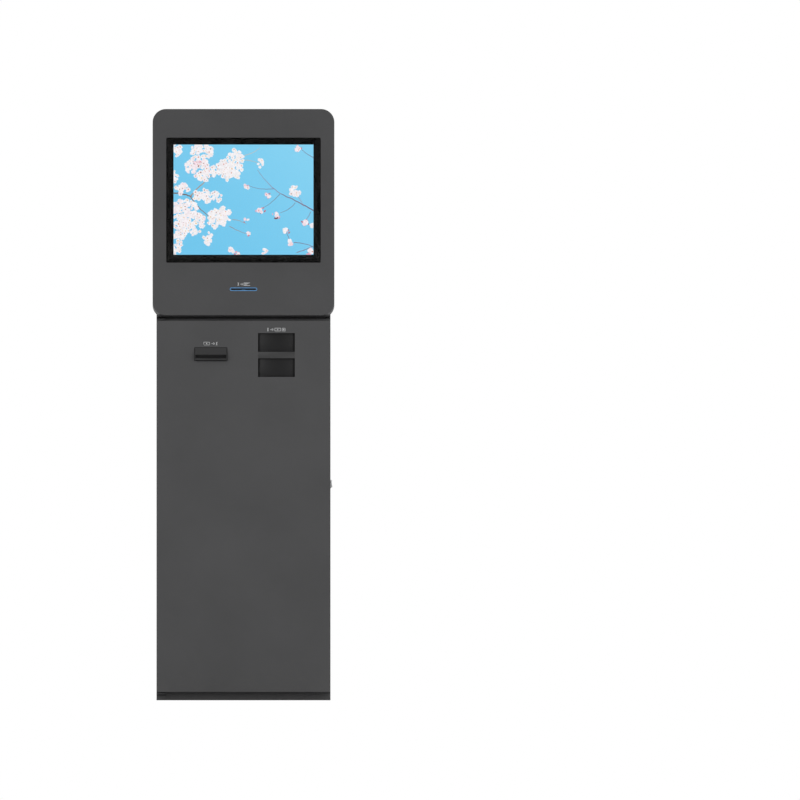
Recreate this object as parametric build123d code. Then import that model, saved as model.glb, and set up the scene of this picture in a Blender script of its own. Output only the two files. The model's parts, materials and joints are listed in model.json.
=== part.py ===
from build123d import *
import os
from math import cos, radians, sin

# A free-standing cash kiosk: a sheet-steel cabinet with a front door, and a display head that
# leans back on top of it.
# Millimetres, +Z up. The origin is the centre of the cabinet's underside. The front faces -Y and
# +X is to the right of a person who stands in front of it.

# ---------------------------------------------------------------- driving sizes
# Display and head
ACTIVE_WIDTH = 376.3            # lit area of a 19-inch 5:4 display
ACTIVE_HEIGHT = 301.1
BORDER_SIDE = 19.3              # black glass border around the lit area
BORDER_TOP = 18.0
BORDER_BOTTOM = 21.9
HEAD_MARGIN_SIDE = 37.0         # painted front beside the glass
HEAD_MARGIN_TOP = 78.6
HEAD_CHIN = 143.9               # painted front below the glass
HEAD_DEPTH = 48.0
HEAD_SHEET = 2.5
HEAD_LIP = 14.0                 # return lip around the open back of the head
HEAD_LIP_SHEET = 2.0
LEAN = 10.0                     # degrees that the head leans back, and that the hood falls to the rear
CORNER_RADIUS = 36.0            # rounded corners of the head and of the hood
HEAD_EDGE_RADIUS = 2.0

# Cabinet
CABINET_DEPTH = 412.0
HEAD_BOTTOM = 1027.5            # height of the head's lower rear edge above the floor
HEAD_OVERHANG = 10.5            # head wider than the cabinet, each side
HEAD_RISE = 14.6                # head top above the hood, along the lean
HEAD_STANDOFF = 1.2             # head's lower rear edge in front of the cabinet's front
HEAD_GAP = 1.5                  # between the head's back and the sloping front of the cabinet
SHEET = 2.0
FRAME_SHEET = 3.0
BASE_SHEET = 3.0

# Front door
DOOR_DEPTH = 40.0
DOOR_GAP = 1.5                  # behind the door
DOOR_HEAD_GAP = 6.0             # between the door's top and the head
DOOR_FOOT = 22.0                # height of the door's lower edge
DOOR_EDGE_RADIUS = 1.0
STILE_WIDTH = 36.0              # front frame, each side
RAIL_HEIGHT = 60.0              # front frame, bottom
LINTEL_HEIGHT = 34.0            # front frame, above the door opening
SEAL_THICKNESS = 1.2
SEAL_WIDTH = 10.0
SEAL_INSET = 4.0                # seal from the cabinet's inner faces
SEAL_PIVOT_INSET = 20.0         # seal from the inner face beside the pivots

# Door pivot
PIVOT_INSET = 8.0               # pivot axis from the door's left side
PIVOT_FORWARD = 24.5            # pivot axis in front of the door's rear plane
PIVOT_RADIUS = 4.0
PIVOT_REACH = 9.0               # pin length inside the door
BRACKET_SHEET = 3.0
RUNNING_CLEARANCE = 0.05        # radial

# Cash-in bezel, in the door
CASH_IN_X = -88.0
CASH_IN_DROP = 90.5             # bezel centre below the door's top
CASH_IN_WIDTH = 89.0
CASH_IN_HEIGHT = 37.0
CASH_IN_PROUD = 13.0
CASH_IN_SLOT_WIDTH = 72.0
CASH_IN_SLOT_HEIGHT = 5.0
CASH_IN_SLOT_DROP = 4.0         # slot centre below the bezel's
ACCEPTOR_ROLLER_RADIUS = 8.0

# Cash-out bezel, in the door
CASH_OUT_X = 88.6
CASH_OUT_DROP = 92.8
WINDOW_WIDTH = 98.7
WINDOW_HEIGHT = 50.0
WINDOW_STRIP = 17.8             # between the two windows
WINDOW_RECESS = 8.0             # flaps behind the door's face
FLAP_SHEET = 2.0
FLAP_LAP = 2.0                  # flap wider than its window, each side
FLAP_CLEARANCE = 0.4            # between a flap and its liner
FLAP_PIN_RADIUS = 2.0
FLAP_PIN_RISE = 4.0             # flap pin above its window
EAR_WIDTH = 5.0

# Door lock
LOCK_Z = 582.0
LOCK_RADIUS = 9.5
CAM_SHEET = 2.5
CAM_REACH = 38.0
CAM_WIDTH = 12.0
CAM_BARB = 14.0
LOCK_HEAD_RADIUS = 11.0
LOCK_HEAD_PROUD = 2.0
LOCK_LENGTH = 21.0
PLUG_RADIUS = 6.0
COVER_PIN_RISE = 8.0
COVER_WIDTH = 12.0
COVER_RIVET_RADIUS = 1.6
COVER_RIVET_PROUD = 1.9

# Receipt slot, in the head
RECEIPT_RISE = 71.0             # slot centre above the head's bottom, along the lean
RECEIPT_WIDTH = 73.4
RECEIPT_HEIGHT = 9.0
RECEIPT_RING = 1.6
NOTCH_WIDTH = 19.0

# Side pulls and speakers
PULL_WIDTH = 97.0
PULL_HEIGHT = 40.0
PULL_DEPTH = 26.0
PULL_Z = 591.0
PULL_Y = -19.7
PULL_SHEET = 1.5
SPEAKER_BACK = 41.5             # speaker centre behind the head's back, along its normal
SPEAKER_RISE = 55.5             # speaker centre above the head's bottom, along the lean
SPEAKER_HOLE = 3.6              # diameter
SPEAKER_PITCH = 5.7
SPEAKER_RADIUS = 25.0

# Anchor holes in the base
ANCHOR_SPACING_X = 340.0
ANCHOR_SPACING_Y = 280.0
ANCHOR_HOLE = 12.0              # diameter
CABLE_HOLE = 60.0               # diameter, floor cable entry in the base
CABLE_HOLE_Y = 110.0

# Rear panel, mains inlet and fan
INLET_Z = 130.0
SWITCH_RISE = 34.0
FAN_X = 60.0
FAN_Z = 1180.0
FAN_SIZE = 80.0
FAN_DEPTH = 25.0
NETWORK_RADIUS = 10.0

# Shelf and note dispenser
LOWER_SHELF_Z = 320.0
DISPENSER_HEIGHT = 320.0
DISPENSER_DEPTH = 240.0
DISPENSER_WIDTH = 118.0
DISPENSER_WALL = 2.0
CASSETTE_HEIGHT = 88.0
CASSETTE_GAP = 6.0
ROLLER_RADIUS = 11.0
ROLLER_SHAFT = 3.0
THROAT_HEIGHT = 26.0
THROAT_CLEARANCE = 1.5          # between a throat and the path of its flap

# Note validator
ACCEPTOR_HALF = 46.0
ACCEPTOR_DEPTH = 92.0
STACKER_HEIGHT = 150.0

# Display stack, in the head
GLASS_SET_BACK = 0.2
GLASS_SHEET = 4.0
MASK_SHEET = 0.8
PANEL_SHEET = 10.0
GLASS_FIT = 0.3
GLASS_CORNER = 3.0

# Receipt printer, in the head
PRINTER_HALF = 41.0
PRINTER_LOW = 30.0
PRINTER_HIGH = 96.5
PRINTER_FRONT = -36.0
PRINTER_REAR = 62.0
ROLL_RADIUS = 28.0
ROLL_BORE = 6.0
ROLL_Y = 28.0
ROLL_Z = 84.0
ROLL_HALF = 29.0
PLATEN_RADIUS = 8.0
PLATEN_Y = -20.0
LID_HIGH = 120.0

# Head hinge
HINGE_Y = 5.0
KNUCKLE_RADIUS = 4.0
HINGE_PIN_RADIUS = 2.0
HINGE_X = 130.0
KNUCKLE_LENGTH = 30.0
KNUCKLE_GAP = 0.4
LEAF_SHEET = 1.5

FIT = 0.5                       # clearance of parts that sit in a cut-out

# ---------------------------------------------------------------- derived places
GLASS_WIDTH = ACTIVE_WIDTH + 2 * BORDER_SIDE
GLASS_HEIGHT = ACTIVE_HEIGHT + BORDER_TOP + BORDER_BOTTOM
HEAD_WIDTH = GLASS_WIDTH + 2 * HEAD_MARGIN_SIDE
HEAD_LENGTH = HEAD_MARGIN_TOP + GLASS_HEIGHT + HEAD_CHIN
WIDTH = HEAD_WIDTH - 2 * HEAD_OVERHANG
HALF = WIDTH / 2
INNER = HALF - SHEET
FRONT = -CABINET_DEPTH / 2
REAR = CABINET_DEPTH / 2
DOOR_REAR = FRONT - DOOR_GAP
DOOR_FRONT = DOOR_REAR - DOOR_DEPTH
DOOR_TOP = HEAD_BOTTOM - DOOR_HEAD_GAP
FLAP_PIN_Y = DOOR_FRONT + WINDOW_RECESS + FLAP_PIN_RADIUS
DOOR_HEIGHT = DOOR_TOP - DOOR_FOOT
GLASS_LOW = HEAD_CHIN
GLASS_MIDDLE = GLASS_LOW + GLASS_HEIGHT / 2
ACTIVE_MIDDLE = GLASS_LOW + BORDER_BOTTOM + ACTIVE_HEIGHT / 2
INLET_X = -INNER + 90.0
ROCKER_Z = INLET_Z + SWITCH_RISE
ROCKER_Y = REAR - SHEET - 4
NETWORK_X = INLET_X + 90.0
LOCK_Y = (DOOR_FRONT + DOOR_REAR) / 2
CAM_X = INNER - 26.0
CASH_OUT_Z = DOOR_TOP - CASH_OUT_DROP
UPPER_WINDOW_Z = CASH_OUT_Z + (WINDOW_STRIP + WINDOW_HEIGHT) / 2
LOWER_WINDOW_Z = CASH_OUT_Z - (WINDOW_STRIP + WINDOW_HEIGHT) / 2
DISPENSER_TOP = UPPER_WINDOW_Z + WINDOW_HEIGHT / 2 + 4
DISPENSER_FLOOR = DISPENSER_TOP - DISPENSER_HEIGHT
DISPENSER_FRONT = FRONT + FRAME_SHEET + 14
FEED_Y = DISPENSER_FRONT + 60.0
PIVOT_X = -HALF + PIVOT_INSET
PIVOT_Y = DOOR_REAR - PIVOT_FORWARD
CASH_IN_Z = DOOR_TOP - CASH_IN_DROP
SLOT_Z = CASH_IN_Z - CASH_IN_SLOT_DROP
SLOT_HIGH = SLOT_Z + CASH_IN_SLOT_HEIGHT / 2
SLOT_LOW = SLOT_Z - CASH_IN_SLOT_HEIGHT / 2
ACCEPTOR_FRONT = DOOR_FRONT + SHEET + 4
ACCEPTOR_ROLLER_Y = ACCEPTOR_FRONT + 30
ACCEPTOR_ROLLER_Z = SLOT_LOW - ACCEPTOR_ROLLER_RADIUS + 1
WINDOWS_HEIGHT = 2 * WINDOW_HEIGHT + WINDOW_STRIP
FACE = -HEAD_DEPTH
PANEL_FRONT = FACE + GLASS_SET_BACK + GLASS_SHEET + MASK_SHEET
PANEL_REAR = PANEL_FRONT + PANEL_SHEET
PLATEN_Z = RECEIPT_RISE - PLATEN_RADIUS - 0.8
LID_PIN_Y = PRINTER_REAR + 5
LID_PIN_Z = PRINTER_HIGH + 4
HINGE_Z = HEAD_LENGTH - 8.0

# The head's own frame: its origin is the middle of the head's lower rear edge, its Z runs up along
# the lean and its Y runs square to the head, towards the rear.
HEAD = Location((0, FRONT - HEAD_STANDOFF, HEAD_BOTTOM), (-LEAN, 0, 0))
HOOD_TOP = HEAD_LENGTH - HEAD_RISE
TALL = 3 * (HEAD_BOTTOM + HEAD_LENGTH)


def in_head(y, z):
    """World (y, z) of a place in the head's own frame."""
    a = radians(LEAN)
    return (FRONT - HEAD_STANDOFF + y * cos(a) + z * sin(a), HEAD_BOTTOM - y * sin(a) + z * cos(a))


def block(x0, x1, y0, y1, z0, z1):
    """A rectangular solid between its limits."""
    middle = ((x0 + x1) / 2, (y0 + y1) / 2, (z0 + z1) / 2)
    return Pos(*middle) * Box(x1 - x0, y1 - y0, z1 - z0)


def rod_x(x0, x1, y, z, radius):
    """A round bar along X."""
    return Pos((x0 + x1) / 2, y, z) * Rot(0, 90, 0) * Cylinder(radius, x1 - x0)


def rod_y(x, y0, y1, z, radius):
    """A round bar along Y."""
    return Pos(x, (y0 + y1) / 2, z) * Rot(90, 0, 0) * Cylinder(radius, y1 - y0)


def rod_z(x, y, z0, z1, radius):
    """A round bar along Z."""
    return Pos(x, y, (z0 + z1) / 2) * Cylinder(radius, z1 - z0)


def slab_xz(outline, x, z, y0, y1):
    """An outline in the XZ plane, centred on (x, z) and filled from y0 to y1."""
    plane = Plane(origin=(x, y1, z), x_dir=(1, 0, 0), z_dir=(0, -1, 0))
    return extrude(plane * outline, amount=y1 - y0)


def slab_yz(points, x0, x1):
    """A polygon of (y, z) points, filled from x0 to x1."""
    plane = Plane(origin=(x0, 0, 0), x_dir=(0, 1, 0), z_dir=(1, 0, 0))
    return extrude(plane * make_face(Polyline(*points, close=True)), amount=x1 - x0)


def slot_row(x, y0, y1, z0, pitch, count, length, height):
    """A column of round-ended slots that are cut along Y."""
    cut = Part()
    for number in range(count):
        cut += slab_xz(SlotOverall(length, height), x, z0 + number * pitch, y0, y1)
    return cut


def keep(name, shape):
    """Writes one sub-part to its own STEP file."""
    export_step(shape, f"parts/{name}.step")


# ---------------------------------------------------------------- cabinet
def cabinet_core(inset):
    """The cabinet's outer shape, drawn in by one wall at its sides and top."""
    foot = (FRONT, 0)
    knee_rise = (HEAD_STANDOFF - HEAD_GAP * cos(radians(LEAN))) / sin(radians(LEAN))
    knee = (FRONT, in_head(HEAD_GAP, knee_rise)[1])
    brow = in_head(HEAD_GAP, HOOD_TOP)
    far = in_head(TALL, HOOD_TOP)
    share = (REAR - brow[0]) / (far[0] - brow[0])
    nape = (REAR, brow[1] + share * (far[1] - brow[1]))
    profile = slab_yz([foot, knee, brow, nape, (REAR, 0)], -HALF + inset, HALF - inset)
    section = RectangleRounded(WIDTH - 2 * inset, TALL, CORNER_RADIUS - inset)
    rounded = slab_xz(section, 0, HOOD_TOP - inset - TALL / 2, -TALL, TALL)
    return profile & (HEAD * rounded)


def speaker_holes():
    """Holes of one speaker grille, a diamond of round holes in line with the head."""
    cut = Part()
    for column, count in zip(range(-2, 3), (3, 7, 11, 7, 3)):
        for row in range(count):
            y = SPEAKER_BACK + column * SPEAKER_PITCH
            z = SPEAKER_RISE + (row - (count - 1) / 2) * SPEAKER_PITCH
            place = in_head(y, z)
            cut += rod_x(-HALF - 1, HALF + 1, place[0], place[1], SPEAKER_HOLE / 2)
    return cut


def shell_parts():
    """The wrap-round sheet of the cabinet, as two sides and a hood."""
    wrap = cabinet_core(0) - cabinet_core(SHEET)
    seam = HOOD_TOP - CORNER_RADIUS
    above = HEAD * block(-TALL, TALL, -TALL, TALL, seam, seam + TALL)
    keep("hood_top", wrap & above)
    sides = wrap - above
    pull = block(-TALL, TALL, PULL_Y - PULL_WIDTH / 2, PULL_Y + PULL_WIDTH / 2,
                 PULL_Z - PULL_HEIGHT / 2, PULL_Z + PULL_HEIGHT / 2)
    sides -= pull
    sides -= speaker_holes()
    keep("side_panel_left", sides & block(-TALL, 0, -TALL, TALL, -1, TALL))
    keep("side_panel_right", sides & block(0, TALL, -TALL, TALL, -1, TALL))


def rear_panel():
    """Rear panel with louvre slots, a fan grille, the mains inlet and a network entry."""
    panel = cabinet_core(SHEET) & block(-TALL, TALL, REAR - SHEET, REAR, 0, TALL)
    y0 = REAR - SHEET - 1
    y1 = REAR + 1
    for x in (-90.0, 90.0):
        panel -= slot_row(x, y0, y1, 330.0, 14.0, 10, 120.0, 5.0)
        panel -= slot_row(x, y0, y1, 860.0, 14.0, 8, 120.0, 5.0)
    for ring, radius in ((8, 14.0), (16, 24.0), (24, 34.0)):
        for place in PolarLocations(radius, ring):
            spot = place.position
            panel -= rod_y(FAN_X + spot.X, y0, y1, FAN_Z + spot.Y, 2.6)
    panel -= block(INLET_X - 24, INLET_X + 24, y0, y1, INLET_Z - 15, INLET_Z + 15)
    panel -= block(INLET_X - 14, INLET_X + 14, y0, y1, ROCKER_Z - 11, ROCKER_Z + 11)
    panel -= rod_y(NETWORK_X, y0, y1, INLET_Z, NETWORK_RADIUS)
    return panel


def base_plate():
    """Base plate with anchor holes and a floor cable entry."""
    plate = block(-INNER, INNER, FRONT + FRAME_SHEET, REAR - SHEET, 0, BASE_SHEET)
    for place in GridLocations(ANCHOR_SPACING_X, ANCHOR_SPACING_Y, 2, 2):
        plate -= place * Cylinder(ANCHOR_HOLE / 2, 4 * BASE_SHEET)
    return plate - Pos(0, CABLE_HOLE_Y, 0) * Cylinder(CABLE_HOLE / 2, 4 * BASE_SHEET)


def front_frame():
    """Frame that the front door closes against; its foot is the plinth below the door."""
    knee = in_head(HEAD_GAP, 0)[1]
    frame = block(-INNER, INNER, FRONT, FRONT + FRAME_SHEET, 0, knee - FIT)
    frame -= block(-INNER + STILE_WIDTH, INNER - STILE_WIDTH, FRONT - 1, FRONT + FRAME_SHEET + 1,
                   RAIL_HEIGHT, knee - LINTEL_HEIGHT)
    return frame - block(CAM_X - 3, CAM_X + CAM_SHEET + 3, FRONT - 1, FRONT + FRAME_SHEET + 1,
                         LOCK_Z - CAM_WIDTH / 2 - 1.5, LOCK_Z + CAM_REACH + 3)


def head_frame():
    """Sloping frame behind the head."""
    y0 = HEAD_GAP
    y1 = HEAD_GAP + FRAME_SHEET
    slab = HEAD * block(-TALL, TALL, y0, y1, FRAME_SHEET, TALL)
    opening = HEAD * block(-INNER + 32, INNER - 32, y0 - 1, y1 + 1, 15, HOOD_TOP - 44)
    return (cabinet_core(SHEET) & slab) - opening


def shelf(z, hole_x):
    """A shelf between the side panels, with folded front and rear edges and a cable hole."""
    y0 = FRONT + 30.0
    y1 = REAR - 30.0
    tray = block(-INNER, INNER, y0, y1, z - SHEET, z)
    tray += block(-INNER, INNER, y0, y0 + SHEET, z - 25.0, z)
    tray += block(-INNER, INNER, y1 - SHEET, y1, z - 25.0, z)
    return tray - rod_z(hole_x, y1 - 60.0, z - 10, z + 10, 25.0)


def pull_recess(side):
    """A finger pull let into one side panel: a sloping plate above a deep pocket."""
    top = PULL_Z + PULL_HEIGHT / 2 - FIT
    low = PULL_Z - PULL_HEIGHT / 2 + FIT
    y0 = PULL_Y - PULL_WIDTH / 2 + FIT
    y1 = PULL_Y + PULL_WIDTH / 2 - FIT
    lip = low + 10.0
    t = PULL_SHEET
    outer = [(HALF - 0.2, top), (HALF - 0.2, low), (HALF - PULL_DEPTH, low),
             (HALF - PULL_DEPTH, lip + 16), (HALF - PULL_DEPTH + 8, lip + 16)]
    shape = Plane.XZ * make_face(Polyline(*outer, close=True))
    cup = Pos(0, y1, 0) * extrude(shape, amount=y1 - y0)
    # the pocket behind the sloping plate's lower edge, open at the bottom of the recess
    throat = [(HALF + 5, lip), (HALF + 5, low + t), (HALF - PULL_DEPTH + t, low + t),
              (HALF - PULL_DEPTH + t, lip + 14), (HALF - PULL_DEPTH + 7, lip + 14),
              (HALF - 16, lip)]
    pocket = Plane.XZ * make_face(Polyline(*throat, close=True))
    cup -= Pos(0, y1 - t, 0) * extrude(pocket, amount=y1 - y0 - 2 * t)
    # the hollow in front of the sloping plate
    front = [(HALF + 5, top + 5), (HALF + 5, lip), (HALF - 13, lip), (HALF - 2, top - t)]
    hollow = Plane.XZ * make_face(Polyline(*front, close=True))
    cup -= Pos(0, y1 - t, 0) * extrude(hollow, amount=y1 - y0 - 2 * t)
    return cup if side > 0 else mirror(cup, about=Plane.YZ)


def speaker(side):
    """A loudspeaker behind its grille: mounting flange, basket and magnet."""
    place = in_head(SPEAKER_BACK, SPEAKER_RISE)
    turn = Pos(0, place[0], place[1])
    flange = rod_x(INNER - 4, INNER, 0, 0, SPEAKER_RADIUS + 10)
    flange -= rod_x(INNER - 5, INNER + 1, 0, 0, SPEAKER_RADIUS + 4)
    basket = Pos(INNER - 14, 0, 0) * Rot(0, 90, 0) * Cone(SPEAKER_RADIUS - 8, SPEAKER_RADIUS + 4.5, 22)
    basket -= Pos(INNER - 9, 0, 0) * Rot(0, 90, 0) * Cone(SPEAKER_RADIUS - 12, SPEAKER_RADIUS + 1, 20)
    magnet = rod_x(INNER - 39, INNER - 22, 0, 0, SPEAKER_RADIUS - 5)
    unit = turn * (flange + basket + magnet)
    return unit if side > 0 else mirror(unit, about=Plane.YZ)


def box_of_sheet(x0, x1, y0, y1, z0, z1, wall):
    """A closed sheet-metal case, hollow inside."""
    case = block(x0, x1, y0, y1, z0, z1)
    return case - block(x0 + wall, x1 - wall, y0 + wall, y1 - wall, z0 + wall, z1 - wall)


def computer():
    """Control computer: a finned case with a row of sockets on its front."""
    x0, y0, z0 = -190.0, -90.0, LOWER_SHELF_Z
    case = box_of_sheet(x0, x0 + 190, y0, y0 + 200, z0, z0 + 62, 2.0)
    for number in range(12):
        x = x0 + 12 + number * 15
        case += block(x, x + 4, y0 + 6, y0 + 194, z0 + 62, z0 + 72)
    for number in range(5):
        x = x0 + 20 + number * 32
        case -= block(x, x + 18, y0 - 1, y0 + 3, z0 + 18, z0 + 28)
    return case


def power_supply():
    """Switched power supply in a perforated case."""
    x0, y0, z0 = 40.0, -80.0, LOWER_SHELF_Z
    case = box_of_sheet(x0, x0 + 110, y0, y0 + 180, z0, z0 + 52, 1.5)
    for row in range(7):
        for column in range(4):
            case -= rod_z(x0 + 22 + column * 22, y0 + 30 + row * 20, z0 + 48, z0 + 55, 4)
    return case


def mains_inlet():
    """Mains inlet with three flat pins, and the frame of the mains switch above it."""
    y1 = REAR - SHEET
    top = ROCKER_Z + 10.5
    flange = block(INLET_X - 32, INLET_X + 32, y1 - 3, y1, INLET_Z - 20, top)
    flange -= block(INLET_X - 23, INLET_X + 23, y1 - 4, y1 + 1, INLET_Z - 14, INLET_Z + 14)
    flange += block(INLET_X - 13.5, INLET_X + 13.5, y1 - 14, REAR + 1.5, ROCKER_Z - 10.5, top)
    flange -= block(INLET_X - 11.5, INLET_X + 11.5, y1 - 12, REAR + 2, ROCKER_Z - 8.5, ROCKER_Z + 8.5)
    body = block(INLET_X - 23.5, INLET_X + 23.5, y1 - 30, y1 + 1.5, INLET_Z - 14.5, INLET_Z + 14.5)
    body -= block(INLET_X - 15, INLET_X + 15, y1 - 18, y1 + 2, INLET_Z - 10, INLET_Z + 10)
    for dx, dz in ((-7, -3), (0, 3), (7, -3)):
        body += block(INLET_X + dx - 1, INLET_X + dx + 1, y1 - 18.5, y1 - 3,
                      INLET_Z + dz - 2, INLET_Z + dz + 2)
    return flange + body


def rocker_switch():
    """Rocker of the mains switch, tipped to its off side."""
    half = [(-5, -7.4), (4.6, -7.4), (3.0, 0), (4.6, 7.4), (-5, 7.4)]
    return Pos(0, ROCKER_Y, ROCKER_Z) * Rot(-8, 0, 0) * slab_yz(half, INLET_X - 11, INLET_X + 11)


def fan_parts():
    """Exhaust fan behind its grille: a square frame with a motor spider, and the rotor."""
    y1 = REAR - SHEET
    y0 = y1 - FAN_DEPTH
    s = FAN_SIZE / 2
    frame = slab_xz(RectangleRounded(FAN_SIZE, FAN_SIZE, 4), FAN_X, FAN_Z, y0, y1)
    frame -= rod_y(FAN_X, y0 - 1, y1 + 1, FAN_Z, s - 2)
    spider = rod_y(FAN_X, y0, y0 + 3, FAN_Z, 14)
    for turn in (0, 90):
        spider += Pos(FAN_X, y0 + 1.5, FAN_Z) * Rot(0, turn + 20, 0) * Box(FAN_SIZE - 3, 3, 4)
    frame += spider & rod_y(FAN_X, y0, y1, FAN_Z, s - 1)
    keep("fan_frame", frame)
    hub = rod_y(FAN_X, y0 + 4, y1 - 4, FAN_Z, 15)
    for number in range(7):
        blade = Pos(FAN_X, (y0 + y1) / 2, FAN_Z) * Rot(0, number * 360 / 7, 0)
        hub += blade * Pos(24, 0, 0) * Rot(40, 0, 0) * Box(22, 2, 17)
    keep("fan_rotor", hub)


def dispenser_frame():
    """Open frame that holds the note cassettes and the note transport."""
    x0 = CASH_OUT_X - DISPENSER_WIDTH / 2
    x1 = CASH_OUT_X + DISPENSER_WIDTH / 2
    y0 = DISPENSER_FRONT
    y1 = y0 + DISPENSER_DEPTH
    frame = block(x0, x1, y0, y1, DISPENSER_FLOOR, DISPENSER_FLOOR + DISPENSER_WALL)
    frame += block(x0, x1, y1 - DISPENSER_WALL, y1, DISPENSER_FLOOR, DISPENSER_TOP)
    frame += block(x0, x0 + DISPENSER_WALL, y0, y1, DISPENSER_FLOOR, DISPENSER_TOP)
    frame += block(x1 - DISPENSER_WALL, x1, y0, y1, DISPENSER_FLOOR, DISPENSER_TOP)
    for z in (UPPER_WINDOW_Z, LOWER_WINDOW_Z):
        frame -= rod_x(x0 - 1, x1 + 1, FEED_Y, z, ROLLER_SHAFT + RUNNING_CLEARANCE)
    return frame


def note_cassette(number):
    """Lidded note cassette with a grip on its front."""
    half = DISPENSER_WIDTH / 2 - DISPENSER_WALL - 2
    z0 = DISPENSER_FLOOR + DISPENSER_WALL + number * (CASSETTE_HEIGHT + CASSETTE_GAP)
    y0 = DISPENSER_FRONT + 8
    y1 = y0 + DISPENSER_DEPTH - 24
    case = box_of_sheet(CASH_OUT_X - half, CASH_OUT_X + half, y0, y1, z0, z0 + CASSETTE_HEIGHT, 2.5)
    grip = block(CASH_OUT_X - 36, CASH_OUT_X + 36, y0 - 14, y0, z0 + 34, z0 + 54)
    grip -= block(CASH_OUT_X - 30, CASH_OUT_X + 30, y0 - 10, y0, z0 + 33, z0 + 55)
    return case + grip


def throat(z):
    """Flat duct that leads notes from the transport to one window."""
    half = DISPENSER_WIDTH / 2 - DISPENSER_WALL - 6
    y0 = FLAP_PIN_Y + WINDOW_HEIGHT + FLAP_PIN_RISE + FLAP_LAP + THROAT_CLEARANCE
    y1 = DISPENSER_FRONT + 40
    duct = block(CASH_OUT_X - half, CASH_OUT_X + half, y0, y1, z - THROAT_HEIGHT / 2, z + THROAT_HEIGHT / 2)
    duct -= block(CASH_OUT_X - half + 2, CASH_OUT_X + half - 2, y0 - 1, y1 + 1,
                  z - THROAT_HEIGHT / 2 + 2, z + THROAT_HEIGHT / 2 - 2)
    ears = block(CASH_OUT_X - half - 6, CASH_OUT_X + half + 6, y0 + 6, y1 - 4,
                 z - THROAT_HEIGHT / 2, z - THROAT_HEIGHT / 2 + 2)
    return duct + ears


def feed_roller(z):
    """Shaft with three feed rollers that pull notes forward."""
    y = FEED_Y
    x0 = CASH_OUT_X - DISPENSER_WIDTH / 2
    x1 = CASH_OUT_X + DISPENSER_WIDTH / 2
    shaft = rod_x(x0 - 3, x1 + 3, y, z, ROLLER_SHAFT)
    for dx in (-30, 0, 30):
        shaft += rod_x(CASH_OUT_X + dx - 7, CASH_OUT_X + dx + 7, y, z, ROLLER_RADIUS)
    return shaft


# ---------------------------------------------------------------- front door


def door_pivot(z_plate, z_low, z_high):
    """Bracket and pin that carry one end of the door."""
    plate = block(-INNER, PIVOT_X + 16, PIVOT_Y - 8, FRONT, z_plate, z_plate + BRACKET_SHEET)
    tab = block(-INNER, PIVOT_X + 16, FRONT - BRACKET_SHEET, FRONT,
                z_plate - (4 if z_plate < HEAD_BOTTOM / 2 else 0),
                z_plate + BRACKET_SHEET)
    return plate + tab + rod_z(PIVOT_X, PIVOT_Y, z_low, z_high, PIVOT_RADIUS)


def door_panel():
    """Front door: a shallow folded pan with cut-outs for the cash slots."""
    face = slab_xz(Rectangle(WIDTH, DOOR_HEIGHT), 0, DOOR_FOOT + DOOR_HEIGHT / 2, DOOR_FRONT, DOOR_REAR)
    front_edges = face.edges().group_by(Axis.Y)[0]
    pan = fillet(front_edges, DOOR_EDGE_RADIUS)
    pan -= block(-INNER, INNER, DOOR_FRONT + SHEET, DOOR_REAR + 1, DOOR_FOOT + SHEET, DOOR_TOP - SHEET)
    pan -= block(CASH_IN_X - CASH_IN_WIDTH / 2 + 3, CASH_IN_X + CASH_IN_WIDTH / 2 - 3,
                 DOOR_FRONT - 1, DOOR_FRONT + SHEET + 1,
                 CASH_IN_Z - CASH_IN_HEIGHT / 2 + 3, CASH_IN_Z + CASH_IN_HEIGHT / 2 - 3)
    for z in (UPPER_WINDOW_Z, LOWER_WINDOW_Z):
        pan -= slab_xz(Rectangle(WINDOW_WIDTH, WINDOW_HEIGHT), CASH_OUT_X, z,
                       DOOR_FRONT - 1, DOOR_FRONT + SHEET + 1)
    bore = PIVOT_RADIUS + RUNNING_CLEARANCE
    pan -= rod_z(PIVOT_X, PIVOT_Y, DOOR_FOOT - 1, DOOR_FOOT + SHEET + 1, bore)
    pan -= rod_z(PIVOT_X, PIVOT_Y, DOOR_TOP - SHEET - 1, DOOR_TOP + 1, bore)
    return pan - rod_x(INNER - 1, HALF + 1, LOCK_Y, LOCK_Z, LOCK_RADIUS)


def door_stiffener(z):
    """Folded channel across the inside of the door."""
    y0 = DOOR_FRONT + SHEET
    bar = block(-INNER + 24, INNER - 44, y0, y0 + 16, z - 22, z + 22)
    return bar - block(-INNER + 23, INNER - 43, y0 - 1, y0 + 14.5, z - 20.5, z + 20.5)


def cash_in_bezel():
    """Wedge-shaped moulding around the cash-in slot; it grows proud towards its lower edge."""
    w = CASH_IN_WIDTH / 2
    top = CASH_IN_HEIGHT / 2
    proud = -CASH_IN_PROUD
    side = [(0, -top), (0, top), (-1.2, top), (-2.4, top - 5), (proud, -top + 9.5),
            (proud, -top + 7.5), (proud + 3.0, -top + 6.5), (proud + 3.0, -top)]
    bezel = Pos(CASH_IN_X, DOOR_FRONT, CASH_IN_Z) * slab_yz(side, -w, w)
    neck = block(CASH_IN_X - w + 3.5, CASH_IN_X + w - 3.5, DOOR_FRONT, DOOR_FRONT + SHEET + 4,
                 CASH_IN_Z - top + 3.5, CASH_IN_Z + top - 3.5)
    slot = block(CASH_IN_X - CASH_IN_SLOT_WIDTH / 2, CASH_IN_X + CASH_IN_SLOT_WIDTH / 2,
                 DOOR_FRONT + proud - 1, DOOR_FRONT + SHEET + 5,
                 SLOT_LOW, SLOT_HIGH)
    return bezel + neck - slot


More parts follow.
